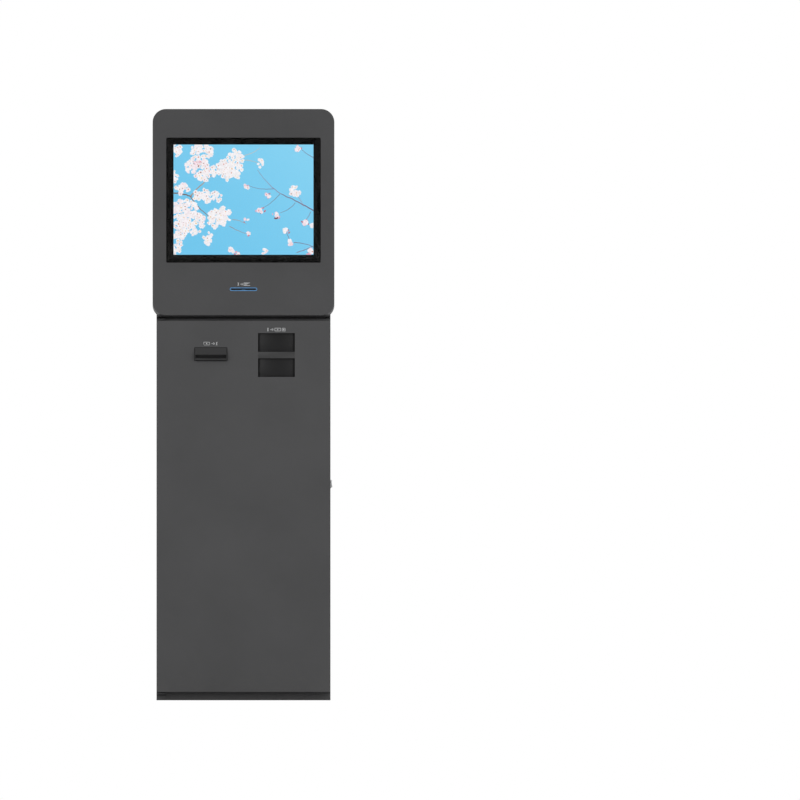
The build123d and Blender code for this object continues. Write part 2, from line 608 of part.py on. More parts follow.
def acceptor_chassis():
    """Note validator behind the cash-in bezel, with its note path."""
    y0 = ACCEPTOR_FRONT
    z0 = CASH_IN_Z - 34
    case = block(CASH_IN_X - ACCEPTOR_HALF, CASH_IN_X + ACCEPTOR_HALF, y0, y0 + ACCEPTOR_DEPTH,
                 z0, CASH_IN_Z + 42)
    case -= block(CASH_IN_X - CASH_IN_SLOT_WIDTH / 2, CASH_IN_X + CASH_IN_SLOT_WIDTH / 2, y0 - 1,
                  y0 + ACCEPTOR_DEPTH - 8, SLOT_LOW, SLOT_HIGH)
    pocket = ACCEPTOR_ROLLER_RADIUS + 1
    case -= block(CASH_IN_X - 34, CASH_IN_X + 34, ACCEPTOR_ROLLER_Y - pocket, ACCEPTOR_ROLLER_Y + pocket,
                  ACCEPTOR_ROLLER_Z - pocket - 1, SLOT_Z)
    return case - rod_x(CASH_IN_X - ACCEPTOR_HALF - 1, CASH_IN_X + ACCEPTOR_HALF + 1, ACCEPTOR_ROLLER_Y,
                        ACCEPTOR_ROLLER_Z, ROLLER_SHAFT + RUNNING_CLEARANCE)


def acceptor_roller():
    """Drive shaft with two rollers in the note path."""
    shaft = rod_x(CASH_IN_X - ACCEPTOR_HALF - 2, CASH_IN_X + ACCEPTOR_HALF + 2, ACCEPTOR_ROLLER_Y,
                  ACCEPTOR_ROLLER_Z, ROLLER_SHAFT)
    for dx in (-20, 20):
        shaft += rod_x(CASH_IN_X + dx - 8, CASH_IN_X + dx + 8, ACCEPTOR_ROLLER_Y, ACCEPTOR_ROLLER_Z,
                       ACCEPTOR_ROLLER_RADIUS)
    return shaft


def stacker_box():
    """Lockable box below the validator that collects the notes."""
    y0 = DOOR_FRONT + SHEET + 4
    z1 = CASH_IN_Z - 34
    z0 = z1 - STACKER_HEIGHT
    case = box_of_sheet(CASH_IN_X - ACCEPTOR_HALF, CASH_IN_X + ACCEPTOR_HALF, y0, y0 + 74, z0, z1, 2.5)
    grip = block(CASH_IN_X - 30, CASH_IN_X + 30, y0 + 74, y0 + 90, z0 + 20, z0 + 38)
    return case + (grip - block(CASH_IN_X - 24, CASH_IN_X + 24, y0 + 74, y0 + 86, z0 + 19, z0 + 39))


def cash_out_liner():
    """Frame behind the two cash-out windows, with bearing ears for the flaps."""
    y0 = DOOR_FRONT + SHEET
    y1 = DOOR_FRONT + WINDOW_RECESS - FLAP_CLEARANCE
    half = WINDOW_WIDTH / 2
    border = FLAP_LAP + 1 + EAR_WIDTH + 3
    outline = RectangleRounded(2 * (half + border), WINDOWS_HEIGHT + 24, 3)
    liner = slab_xz(outline, CASH_OUT_X, CASH_OUT_Z, y0, y1)
    for z in (UPPER_WINDOW_Z, LOWER_WINDOW_Z):
        liner -= slab_xz(Rectangle(WINDOW_WIDTH, WINDOW_HEIGHT), CASH_OUT_X, z, y0 - 1, y1 + 1)
        pin_z = z + WINDOW_HEIGHT / 2 + FLAP_PIN_RISE
        for side in (-1, 1):
            ear = CASH_OUT_X + side * (half + FLAP_LAP + 1 + EAR_WIDTH / 2)
            liner += block(ear - EAR_WIDTH / 2, ear + EAR_WIDTH / 2, y1, FLAP_PIN_Y + 5,
                           pin_z - 5, pin_z + 5)
        liner -= rod_x(CASH_OUT_X - half - border - 1, CASH_OUT_X + half + border + 1, FLAP_PIN_Y, pin_z,
                       FLAP_PIN_RADIUS + RUNNING_CLEARANCE)
    return liner


def cash_out_flap(z):
    """Flap that hangs from a pin behind one window and is pushed inwards."""
    half = WINDOW_WIDTH / 2
    pin_z = z + WINDOW_HEIGHT / 2 + FLAP_PIN_RISE
    y0 = DOOR_FRONT + WINDOW_RECESS
    plate = block(CASH_OUT_X - half - FLAP_LAP, CASH_OUT_X + half + FLAP_LAP, y0, y0 + FLAP_SHEET,
                  z - WINDOW_HEIGHT / 2 - FLAP_LAP, pin_z)
    pin = rod_x(CASH_OUT_X - half - FLAP_LAP - EAR_WIDTH, CASH_OUT_X + half + FLAP_LAP + EAR_WIDTH,
                FLAP_PIN_Y, pin_z, FLAP_PIN_RADIUS)
    return plate + pin


def lock_parts():
    """Door lock in the door's right side: body, turning plug, hook cam and dust cover."""
    head = rod_x(HALF, HALF + LOCK_HEAD_PROUD, LOCK_Y, LOCK_Z, LOCK_HEAD_RADIUS)
    body = head + rod_x(HALF - LOCK_LENGTH, HALF, LOCK_Y, LOCK_Z, LOCK_RADIUS - 0.1)
    body -= rod_x(HALF - LOCK_LENGTH - 1, HALF + LOCK_HEAD_PROUD + 1, LOCK_Y, LOCK_Z,
                  PLUG_RADIUS + RUNNING_CLEARANCE)
    body += rod_x(INNER - 5, INNER, LOCK_Y, LOCK_Z, LOCK_RADIUS + 3) - rod_x(
        INNER - 6, INNER + 1, LOCK_Y, LOCK_Z, LOCK_RADIUS - 0.2)
    keep("door_lock_body", body)
    plug = rod_x(CAM_X + CAM_SHEET, HALF + LOCK_HEAD_PROUD - 0.4, LOCK_Y, LOCK_Z, PLUG_RADIUS)
    plug -= block(HALF - 8, HALF + 5, LOCK_Y - 0.9, LOCK_Y + 0.9, LOCK_Z - 4, LOCK_Z + 4)
    keep("lock_plug", plug)
    half = CAM_WIDTH / 2
    outline = [(-half, -half), (half, -half), (half, CAM_REACH - CAM_WIDTH),
               (CAM_BARB, CAM_REACH - CAM_WIDTH),
               (CAM_BARB, CAM_REACH), (-half, CAM_REACH)]
    cam = slab_yz([(LOCK_Y + y, LOCK_Z + z) for y, z in outline], CAM_X, CAM_X + CAM_SHEET)
    keep("lock_cam", cam)
    wedge = [(0, COVER_PIN_RISE + 2), (1.2, COVER_PIN_RISE + 2), (1.2, 1),
             (3.0, -7), (2.6, -9.5), (0, -9.5)]
    points = [(HALF + LOCK_HEAD_PROUD + x, LOCK_Z + z) for x, z in wedge]
    face = Plane.XZ * make_face(Polyline(*points, close=True))
    cover = Pos(0, LOCK_Y + COVER_WIDTH / 2, 0) * extrude(face, amount=COVER_WIDTH)
    cover += rod_x(HALF + LOCK_HEAD_PROUD, HALF + LOCK_HEAD_PROUD + COVER_RIVET_PROUD, LOCK_Y,
                   LOCK_Z + COVER_PIN_RISE, COVER_RIVET_RADIUS)
    keep("lock_dust_cover", cover)


# ---------------------------------------------------------------- head, in its own frame


def head_outline(inset):
    """The head's rounded outline, drawn in by a margin."""
    return RectangleRounded(HEAD_WIDTH - 2 * inset, HEAD_LENGTH - 2 * inset, CORNER_RADIUS - inset)


def head_slab(inset, y0, y1):
    """The head's outline as a solid between two depths."""
    return slab_xz(head_outline(inset), 0, HEAD_LENGTH / 2, y0, y1)


def head_housing():
    """Painted head: front face, rounded rim and the return lip around its open back."""
    body = head_slab(0, FACE, 0)
    body = fillet(body.edges().group_by(Axis.Y)[0], HEAD_EDGE_RADIUS)
    body -= head_slab(HEAD_SHEET, FACE + HEAD_SHEET, -HEAD_LIP_SHEET)
    body -= head_slab(HEAD_LIP, -HEAD_LIP_SHEET - 1, 1)
    glass = RectangleRounded(GLASS_WIDTH + 2 * GLASS_FIT, GLASS_HEIGHT + 2 * GLASS_FIT,
                             GLASS_CORNER + GLASS_FIT)
    body -= slab_xz(glass, 0, GLASS_MIDDLE, FACE - 1, FACE + HEAD_SHEET + 1)
    mouth = SlotOverall(RECEIPT_WIDTH + 0.2, RECEIPT_HEIGHT + 0.2)
    return body - slab_xz(mouth, 0, RECEIPT_RISE, FACE - 1, FACE + HEAD_SHEET + 1)


def glass_plate(y0, y1):
    """A plate of the display glass's outline."""
    return slab_xz(RectangleRounded(GLASS_WIDTH, GLASS_HEIGHT, GLASS_CORNER), 0, GLASS_MIDDLE, y0, y1)


def display_parts():
    """Touch glass, its black mask, the display panel, the metal case behind it and two side rails."""
    y0 = FACE + GLASS_SET_BACK
    keep("touch_glass", HEAD * glass_plate(y0, y0 + GLASS_SHEET))
    mask = glass_plate(y0 + GLASS_SHEET, PANEL_FRONT)
    mask -= slab_xz(Rectangle(ACTIVE_WIDTH, ACTIVE_HEIGHT), 0, ACTIVE_MIDDLE, y0, PANEL_FRONT + 1)
    keep("display_mask", HEAD * mask)
    panel = Rectangle(ACTIVE_WIDTH + 19, ACTIVE_HEIGHT + 19)
    keep("display_panel", HEAD * slab_xz(panel, 0, ACTIVE_MIDDLE, PANEL_FRONT, PANEL_REAR))
    half = ACTIVE_WIDTH / 2 + 4
    low = ACTIVE_MIDDLE - ACTIVE_HEIGHT / 2 - 4
    high = ACTIVE_MIDDLE + ACTIVE_HEIGHT / 2 + 4
    case = box_of_sheet(-half, half, PANEL_REAR, -10, low, high, 1.5)
    for x in (-half / 2, 0, half / 2):
        case -= slot_row(x, -13, -9, high - 70, 9, 6, 60, 4)
    keep("display_case", HEAD * case)
    rails = Part()
    for side in (-1, 1):
        foot = block(GLASS_WIDTH / 2 + 5, HEAD_WIDTH / 2 - HEAD_SHEET - 4, FACE + HEAD_SHEET,
                     FACE + HEAD_SHEET + 2, low, high)
        foot += block(HEAD_WIDTH / 2 - HEAD_SHEET - 6, HEAD_WIDTH / 2 - HEAD_SHEET - 4, FACE + HEAD_SHEET,
                      PANEL_REAR + 2, low, high)
        foot += block(half + 1, HEAD_WIDTH / 2 - HEAD_SHEET - 4, PANEL_REAR, PANEL_REAR + 2, low, high)
        rails += foot if side > 0 else mirror(foot, about=Plane.YZ)
    keep("display_rails", HEAD * rails)


def head_rear_cover():
    """Cover inside the head's back, with vents above and a gap for the printer."""
    cover = head_slab(HEAD_SHEET + FIT, -HEAD_LIP_SHEET - 1.5, -HEAD_LIP_SHEET)
    cover -= block(-PRINTER_HALF - 8, PRINTER_HALF + 8, -10, 0, PRINTER_LOW - 6, LID_HIGH + 18)
    for x in (-120.0, 0.0, 120.0):
        cover -= slot_row(x, -10, 1, 400.0, 12.0, 8, 80.0, 4.0)
    return cover


def receipt_parts():
    """Lit ring of the receipt slot and the dark mouth inside it."""
    ring = slab_xz(SlotOverall(RECEIPT_WIDTH, RECEIPT_HEIGHT), 0, RECEIPT_RISE, FACE - 0.3, FACE + 5)
    inner = SlotOverall(RECEIPT_WIDTH - 2 * RECEIPT_RING, RECEIPT_HEIGHT - 2 * RECEIPT_RING)
    ring -= slab_xz(inner, 0, RECEIPT_RISE, FACE - 1, FACE + 6)
    keep("receipt_light_ring", HEAD * ring)
    within = 2 * RECEIPT_RING + 0.2
    mouth = slab_xz(SlotOverall(RECEIPT_WIDTH - within, RECEIPT_HEIGHT - within), 0, RECEIPT_RISE,
                    FACE + 0.6, PRINTER_FRONT)
    mouth -= block(-31, 31, FACE - 1, PRINTER_FRONT + 1, RECEIPT_RISE - 0.8, RECEIPT_RISE + 0.8)
    mouth -= block(-NOTCH_WIDTH / 2, NOTCH_WIDTH / 2, FACE - 1, FACE + 6, RECEIPT_RISE - 1.6,
                   RECEIPT_RISE + 1.8)
    keep("receipt_mouth", HEAD * mouth)


def printer_parts():
    """Receipt printer: body with the roll's cradle, hinged lid, platen, paper roll and spindle."""
    body = block(-PRINTER_HALF, PRINTER_HALF, PRINTER_FRONT, PRINTER_REAR, PRINTER_LOW, PRINTER_HIGH)
    body -= rod_x(-ROLL_HALF - 2, ROLL_HALF + 2, ROLL_Y, ROLL_Z, ROLL_RADIUS + 2)
    body -= block(-ROLL_HALF - 2, ROLL_HALF + 2, ROLL_Y - ROLL_RADIUS - 2, ROLL_Y + ROLL_RADIUS + 2,
                  ROLL_Z, PRINTER_HIGH + 1)
    body -= block(-31, 31, PRINTER_FRONT - 1, ROLL_Y - ROLL_RADIUS, RECEIPT_RISE - 0.8, RECEIPT_RISE + 1.2)
    body -= block(-33, 33, PLATEN_Y - PLATEN_RADIUS - 1, PLATEN_Y + PLATEN_RADIUS + 1,
                  PLATEN_Z - PLATEN_RADIUS - 1, RECEIPT_RISE)
    body -= rod_x(-PRINTER_HALF - 1, PRINTER_HALF + 1, PLATEN_Y, PLATEN_Z, ROLLER_SHAFT + RUNNING_CLEARANCE)
    body -= rod_x(-PRINTER_HALF - 1, PRINTER_HALF + 1, ROLL_Y, ROLL_Z, ROLL_BORE - 1)
    for side in (-1, 1):
        ear = side * (PRINTER_HALF - 12)
        body += block(ear - 4, ear + 4, PRINTER_REAR, LID_PIN_Y + 4, LID_PIN_Z - 14, LID_PIN_Z + 4)
    body -= rod_x(-PRINTER_HALF, PRINTER_HALF, LID_PIN_Y, LID_PIN_Z, FLAP_PIN_RADIUS + RUNNING_CLEARANCE)
    keep("printer_body", HEAD * body)
    spindle = rod_x(-PRINTER_HALF, PRINTER_HALF, ROLL_Y, ROLL_Z, ROLL_BORE - 1)
    keep("roll_spindle", HEAD * spindle)
    roll = rod_x(-ROLL_HALF, ROLL_HALF, ROLL_Y, ROLL_Z, ROLL_RADIUS)
    roll -= rod_x(-ROLL_HALF - 1, ROLL_HALF + 1, ROLL_Y, ROLL_Z, ROLL_BORE - 1 + RUNNING_CLEARANCE)
    keep("paper_roll", HEAD * roll)
    platen = rod_x(-PRINTER_HALF - 2, PRINTER_HALF + 2, PLATEN_Y, PLATEN_Z, ROLLER_SHAFT)
    platen += rod_x(-32, 32, PLATEN_Y, PLATEN_Z, PLATEN_RADIUS)
    keep("platen_roller", HEAD * platen)
    z0 = PRINTER_HIGH + 0.5
    lid = block(-PRINTER_HALF, PRINTER_HALF, ROLL_Y - ROLL_RADIUS - 8, PRINTER_REAR, z0, LID_HIGH)
    lid -= block(-PRINTER_HALF + 2, PRINTER_HALF - 2, ROLL_Y - ROLL_RADIUS - 6, PRINTER_REAR - 2, z0 - 1,
                 LID_HIGH - 2)
    lid += block(-12, 12, PRINTER_REAR - 1, LID_PIN_Y, LID_PIN_Z - 2, LID_PIN_Z + 2)
    for side in (-1, 1):
        ear = side * (PRINTER_HALF - 12)
        lid -= rod_x(ear - 4.5, ear + 4.5, LID_PIN_Y, LID_PIN_Z, 8)
    lid += rod_x(-PRINTER_HALF + 6, PRINTER_HALF - 6, LID_PIN_Y, LID_PIN_Z, FLAP_PIN_RADIUS)
    keep("printer_lid", HEAD * lid)


# ---------------------------------------------------------------- head hinge


def knuckle(x0, x1):
    """One hinge knuckle."""
    return rod_x(x0, x1, HINGE_Y, HINGE_Z, KNUCKLE_RADIUS)


def hinge_parts():
    """Two hinges at the head's top: leaves on the hood, leaves on the head, and their pins."""
    fixed = Part()
    moving = Part()
    pins = Part()
    bore = Part()
    for x in (-HINGE_X, HINGE_X):
        end = 1.5 * KNUCKLE_LENGTH
        mid0 = x - KNUCKLE_LENGTH / 2 + KNUCKLE_GAP
        mid1 = x + KNUCKLE_LENGTH / 2 - KNUCKLE_GAP
        fixed += knuckle(mid0, mid1)
        fixed += block(mid0, mid1, HINGE_Y - 2, HINGE_Y + 3, HOOD_TOP, HINGE_Z)
        fixed += block(x - end, x + end, HINGE_Y + 6, HINGE_Y + 32, HOOD_TOP, HOOD_TOP + LEAF_SHEET)
        fixed += block(mid0, mid1, HINGE_Y - 2, HINGE_Y + 8, HOOD_TOP, HOOD_TOP + LEAF_SHEET)
        for x0, x1 in ((x - end, mid0 - KNUCKLE_GAP), (mid1 + KNUCKLE_GAP, x + end)):
            moving += knuckle(x0, x1)
            moving += block(x0, x1, 0, HINGE_Y, HINGE_Z - 1, HINGE_Z + 4)
        pins += rod_x(x - end - 2, x + end + 2, HINGE_Y, HINGE_Z, HINGE_PIN_RADIUS)
        bore += rod_x(x - end - 5, x + end + 5, HINGE_Y, HINGE_Z, HINGE_PIN_RADIUS + RUNNING_CLEARANCE)
    keep("head_hinge_base_leaves", HEAD * (fixed - bore))
    keep("head_hinge_leaves", HEAD * (moving - bore))
    keep("head_hinge_pins", HEAD * pins)


def rear_screws():
    """Pan-head screws around the edge of the rear panel."""
    screws = Part()
    for x in (-INNER + 9, INNER - 9):
        for number in range(6):
            z = 60.0 + number * (HEAD_BOTTOM + 200 - 60) / 5
            head = rod_y(x, REAR, REAR + 2.2, z, 4.0)
            screws += head - block(x - 2.4, x + 2.4, REAR + 1.0, REAR + 3, z - 0.5, z + 0.5)
    return screws


def door_seal():
    """Rubber seal on the front frame, inside the door's rim and clear of its pivot edge's swing."""
    x0 = -INNER + SEAL_PIVOT_INSET
    x1 = INNER - SEAL_INSET
    z0 = DOOR_FOOT + SHEET + SEAL_INSET
    z1 = DOOR_TOP - SHEET - SEAL_INSET
    ring = block(x0, x1, FRONT - SEAL_THICKNESS, FRONT, z0, z1)
    ring -= block(x0 + SEAL_WIDTH, x1 - SEAL_WIDTH, FRONT - 2, FRONT + 1, z0 + SEAL_WIDTH, z1 - SEAL_WIDTH)
    return ring - block(CAM_X - 4, CAM_X + CAM_SHEET + 4, FRONT - 2, FRONT + 1, LOCK_Z - 10,
                        LOCK_Z + CAM_REACH + 6)


# ---------------------------------------------------------------- all sub-parts
os.makedirs("parts", exist_ok=True)
shell_parts()
keep("rear_panel", rear_panel())
keep("base_plate", base_plate())
keep("front_frame", front_frame())
keep("head_frame", head_frame())
keep("lower_shelf", shelf(LOWER_SHELF_Z, 0.0))
keep("dispenser_shelf", shelf(DISPENSER_FLOOR, -120.0))
keep("pull_recess_left", pull_recess(-1))
keep("pull_recess_right", pull_recess(1))
keep("speaker_left", speaker(-1))
keep("speaker_right", speaker(1))
keep("computer", computer())
keep("power_supply", power_supply())
keep("mains_inlet", mains_inlet())
keep("rocker_switch", rocker_switch())
fan_parts()
keep("dispenser_frame", dispenser_frame())
keep("note_cassette_lower", note_cassette(0))
keep("note_cassette_upper", note_cassette(1))
keep("throat_upper", throat(UPPER_WINDOW_Z))
keep("throat_lower", throat(LOWER_WINDOW_Z))
keep("feed_roller_upper", feed_roller(UPPER_WINDOW_Z))
keep("feed_roller_lower", feed_roller(LOWER_WINDOW_Z))
keep("door_pivot_top", door_pivot(DOOR_TOP + 2, DOOR_TOP - SHEET - PIVOT_REACH, DOOR_TOP + 2))
keep("door_pivot_bottom", door_pivot(DOOR_FOOT - 3 - BRACKET_SHEET, DOOR_FOOT - 3,
                                     DOOR_FOOT + SHEET + PIVOT_REACH))
keep("door_seal", door_seal())
keep("door_panel", door_panel())
keep("door_stiffener", door_stiffener(LOCK_Z - 110))
keep("cash_in_bezel", cash_in_bezel())
keep("acceptor_chassis", acceptor_chassis())
keep("acceptor_roller", acceptor_roller())
keep("stacker_box", stacker_box())
keep("cash_out_liner", cash_out_liner())
keep("cash_out_flap_upper", cash_out_flap(UPPER_WINDOW_Z))
keep("cash_out_flap_lower", cash_out_flap(LOWER_WINDOW_Z))
lock_parts()
keep("head_housing", HEAD * head_housing())
display_parts()
keep("head_rear_cover", HEAD * head_rear_cover())
receipt_parts()
printer_parts()
hinge_parts()
keep("rear_screws", rear_screws())
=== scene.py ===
"""Dresses the cash kiosk: finishes for every CAD node, and the pieces that the CAD leaves plain."""

import json
import logging
import math
import random
from dataclasses import dataclass, field
from enum import Enum
from typing import Sequence

import bmesh
import bpy
from mathutils import Matrix, Vector


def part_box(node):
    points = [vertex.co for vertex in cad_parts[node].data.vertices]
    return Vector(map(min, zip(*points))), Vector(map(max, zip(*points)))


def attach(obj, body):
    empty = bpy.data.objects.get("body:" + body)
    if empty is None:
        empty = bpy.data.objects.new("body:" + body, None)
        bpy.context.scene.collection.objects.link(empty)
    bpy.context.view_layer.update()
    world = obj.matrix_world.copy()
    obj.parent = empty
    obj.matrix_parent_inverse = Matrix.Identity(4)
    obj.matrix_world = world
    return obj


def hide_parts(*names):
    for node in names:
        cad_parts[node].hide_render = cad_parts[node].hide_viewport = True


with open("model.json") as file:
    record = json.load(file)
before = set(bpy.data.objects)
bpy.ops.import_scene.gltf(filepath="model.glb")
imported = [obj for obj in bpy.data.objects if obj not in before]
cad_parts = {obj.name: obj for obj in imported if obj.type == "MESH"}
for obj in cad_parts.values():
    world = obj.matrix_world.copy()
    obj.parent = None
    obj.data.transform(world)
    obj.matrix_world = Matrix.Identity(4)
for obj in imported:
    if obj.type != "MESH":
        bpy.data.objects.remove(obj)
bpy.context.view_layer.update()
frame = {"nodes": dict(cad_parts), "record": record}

LOG = logging.getLogger("kiosk")
MM = 0.001
LEAN = math.radians(10.0)

NUMBER = "NodeSocketFloat"
VECTOR = "NodeSocketVector"

Colour = tuple[float, float, float]


class Body(Enum):
    """The moving bodies of the kiosk, by their names in the frame."""

    CABINET = "cabinet"
    DOOR = "front_door"
    HEAD = "head"
    LOCK_CORE = "lock_core"
    LOCK_COVER = "lock_cover"
    FLAP_UPPER = "flap_upper"
    FLAP_LOWER = "flap_lower"
    ACCEPTOR = "acceptor_rollers"
    FEED_UPPER = "feed_upper"
    FEED_LOWER = "feed_lower"
    ROLL = "receipt_roll"
    PLATEN = "platen"
    LID = "printer_lid"
    ROCKER = "rocker"
    FAN = "fan_rotor"


def srgb(red: int, green: int, blue: int) -> Colour:
    """Turns a display colour into a linear one.

    Args:
        red: red from 0 to 255.
        green: green from 0 to 255.
        blue: blue from 0 to 255.

    Returns:
        The same colour as linear red, green and blue.
    """
    shares = (value / 255 for value in (red, green, blue))
    return tuple(((share + 0.055) / 1.055) ** 2.4 if share > 0.04045 else share / 12.92 for share in shares)


def shade(colour: Colour, factor: float) -> Colour:
    """Makes a colour lighter or darker.

    Args:
        colour: the linear colour.
        factor: what each channel is multiplied by.

    Returns:
        The new colour, with no channel over 1.
    """
    return tuple(min(1.0, channel * factor) for channel in colour)


# ---------------------------------------------------------------- shader nodes
class NodeBook:
    """Adds and joins the nodes of one material or node group."""

    def __init__(self, tree: bpy.types.NodeTree) -> None:
        """Keeps the tree that the nodes go into."""
        self.tree = tree

    def add(self, kind: str, **settings: object) -> bpy.types.Node:
        """Adds one node.

        Args:
            kind: the node's type name.
            settings: attributes of the node to set.

        Returns:
            The new node.
        """
        node = self.tree.nodes.new(kind)
        for key, value in settings.items():
            setattr(node, key, value)
        return node

    def effect(self, tree: bpy.types.NodeTree, **amounts: float) -> bpy.types.Node:
        """Adds a shared node group.

        Args:
            tree: the group.
            amounts: its number inputs to set.

        Returns:
            The group's node.
        """
        node = self.add("ShaderNodeGroup", node_tree=tree)
        for key, value in amounts.items():
            node.inputs[key].default_value = value
        return node

    def join(self, source: bpy.types.NodeSocket, target: bpy.types.NodeSocket) -> None:
        """Links an output to an input."""
        self.tree.links.new(source, target)

    def place(self) -> bpy.types.NodeSocket:
        """Returns the output that holds a point's place on the piece, in metres."""
        return self.add("ShaderNodeTexCoord").outputs["Object"]

    def noise(self, scale: float, detail: float = 2.0, rough: float = 0.5,
              stretch: Sequence[float] | None = None) -> bpy.types.NodeSocket:
        """Adds a noise that follows the piece.

        Args:
            scale: repeats per metre.
            detail: octaves.
            rough: share of the finer octaves.
            stretch: optional scale along each axis, for brushed grain.

        Returns:
            The noise's value.
        """
        node = self.add("ShaderNodeTexNoise")
        node.inputs["Scale"].default_value = scale
        node.inputs["Detail"].default_value = detail
        node.inputs["Roughness"].default_value = rough
        place = self.place()
        if stretch is not None:
            mapping = self.add("ShaderNodeMapping")
            mapping.inputs["Scale"].default_value = stretch
            self.join(place, mapping.inputs["Vector"])
            place = mapping.outputs["Vector"]
        self.join(place, node.inputs["Vector"])
        return node.outputs["Fac"]

    def spread(self, value: bpy.types.NodeSocket, low: float, high: float, to_low: float,
               to_high: float) -> bpy.types.NodeSocket:
        """Maps one range of a value onto another, clamped.

        Args:
            value: the value.
            low: start of its range.
            high: end of its range.
            to_low: what the start becomes.
            to_high: what the end becomes.

        Returns:
            The mapped value.
        """
        node = self.add("ShaderNodeMapRange")
        for name, number in zip(("From Min", "From Max", "To Min", "To Max"), (low, high, to_low, to_high)):
            node.inputs[name].default_value = number
        self.join(value, node.inputs["Value"])
        return node.outputs["Result"]

    def cloud(self, noise: bpy.types.NodeSocket, to_low: float = 0.0,
              to_high: float = 1.0) -> bpy.types.NodeSocket:
        """Spreads the middle values of a noise over a range.

        Args:
            noise: the noise's value.
            to_low: start of the range.
            to_high: end of the range.

        Returns:
            The mapped value.
        """
        return self.spread(noise, 0.3, 0.7, to_low, to_high)

    def mix(self, factor: bpy.types.NodeSocket, first: Colour | bpy.types.NodeSocket,
            second: Colour | bpy.types.NodeSocket) -> bpy.types.NodeSocket:
        """Mixes two colours.

        Args:
            factor: share of the second colour.
            first: a colour or an output.
            second: a colour or an output.

        Returns:
            The mixed colour.
        """
        node = self.add("ShaderNodeMix", data_type="RGBA")
        self.join(factor, node.inputs["Factor"])
        for socket, value in ((node.inputs[6], first), (node.inputs[7], second)):
            if isinstance(value, tuple):
                socket.default_value = (*value, 1.0)
            else:
                self.join(value, socket)
        return node.outputs[2]

    def mottle(self, value: bpy.types.NodeSocket, colour: Colour, dark: float,
               light: float) -> bpy.types.NodeSocket:
        """Varies one colour between a darker and a lighter shade.

        Args:
            value: share of the lighter shade.
            colour: the colour.
            dark: factor of the darker shade.
            light: factor of the lighter shade.

        Returns:
            The varied colour.
        """
        return self.mix(value, shade(colour, dark), shade(colour, light))

    def math(self, operation: str, first: bpy.types.NodeSocket,
             second: bpy.types.NodeSocket | float) -> bpy.types.NodeSocket:
        """Adds one sum of two values.

        Args:
            operation: the node's operation, such as MULTIPLY.
            first: the first value.
            second: the second value, an output or a number.

        Returns:
            The result.
        """
        node = self.add("ShaderNodeMath", operation=operation)
        self.join(first, node.inputs[0])
        if isinstance(second, float):
            node.inputs[1].default_value = second
        else:
            self.join(second, node.inputs[1])
        return node.outputs[0]

    def bump(self, height: bpy.types.NodeSocket, depth: float,
             base: bpy.types.NodeSocket | None = None) -> bpy.types.NodeSocket:
        """Turns a height into a normal.

        Args:
            height: the height, from 0 to 1.
            depth: what a height of 1 measures, in metres.
            base: optional normal that the bump stands on.

        Returns:
            The bumped normal.
        """
        node = self.add("ShaderNodeBump")
        node.inputs["Distance"].default_value = depth
        self.join(height, node.inputs["Height"])
        if base is not None:
            self.join(base, node.inputs["Normal"])
        return node.outputs["Normal"]


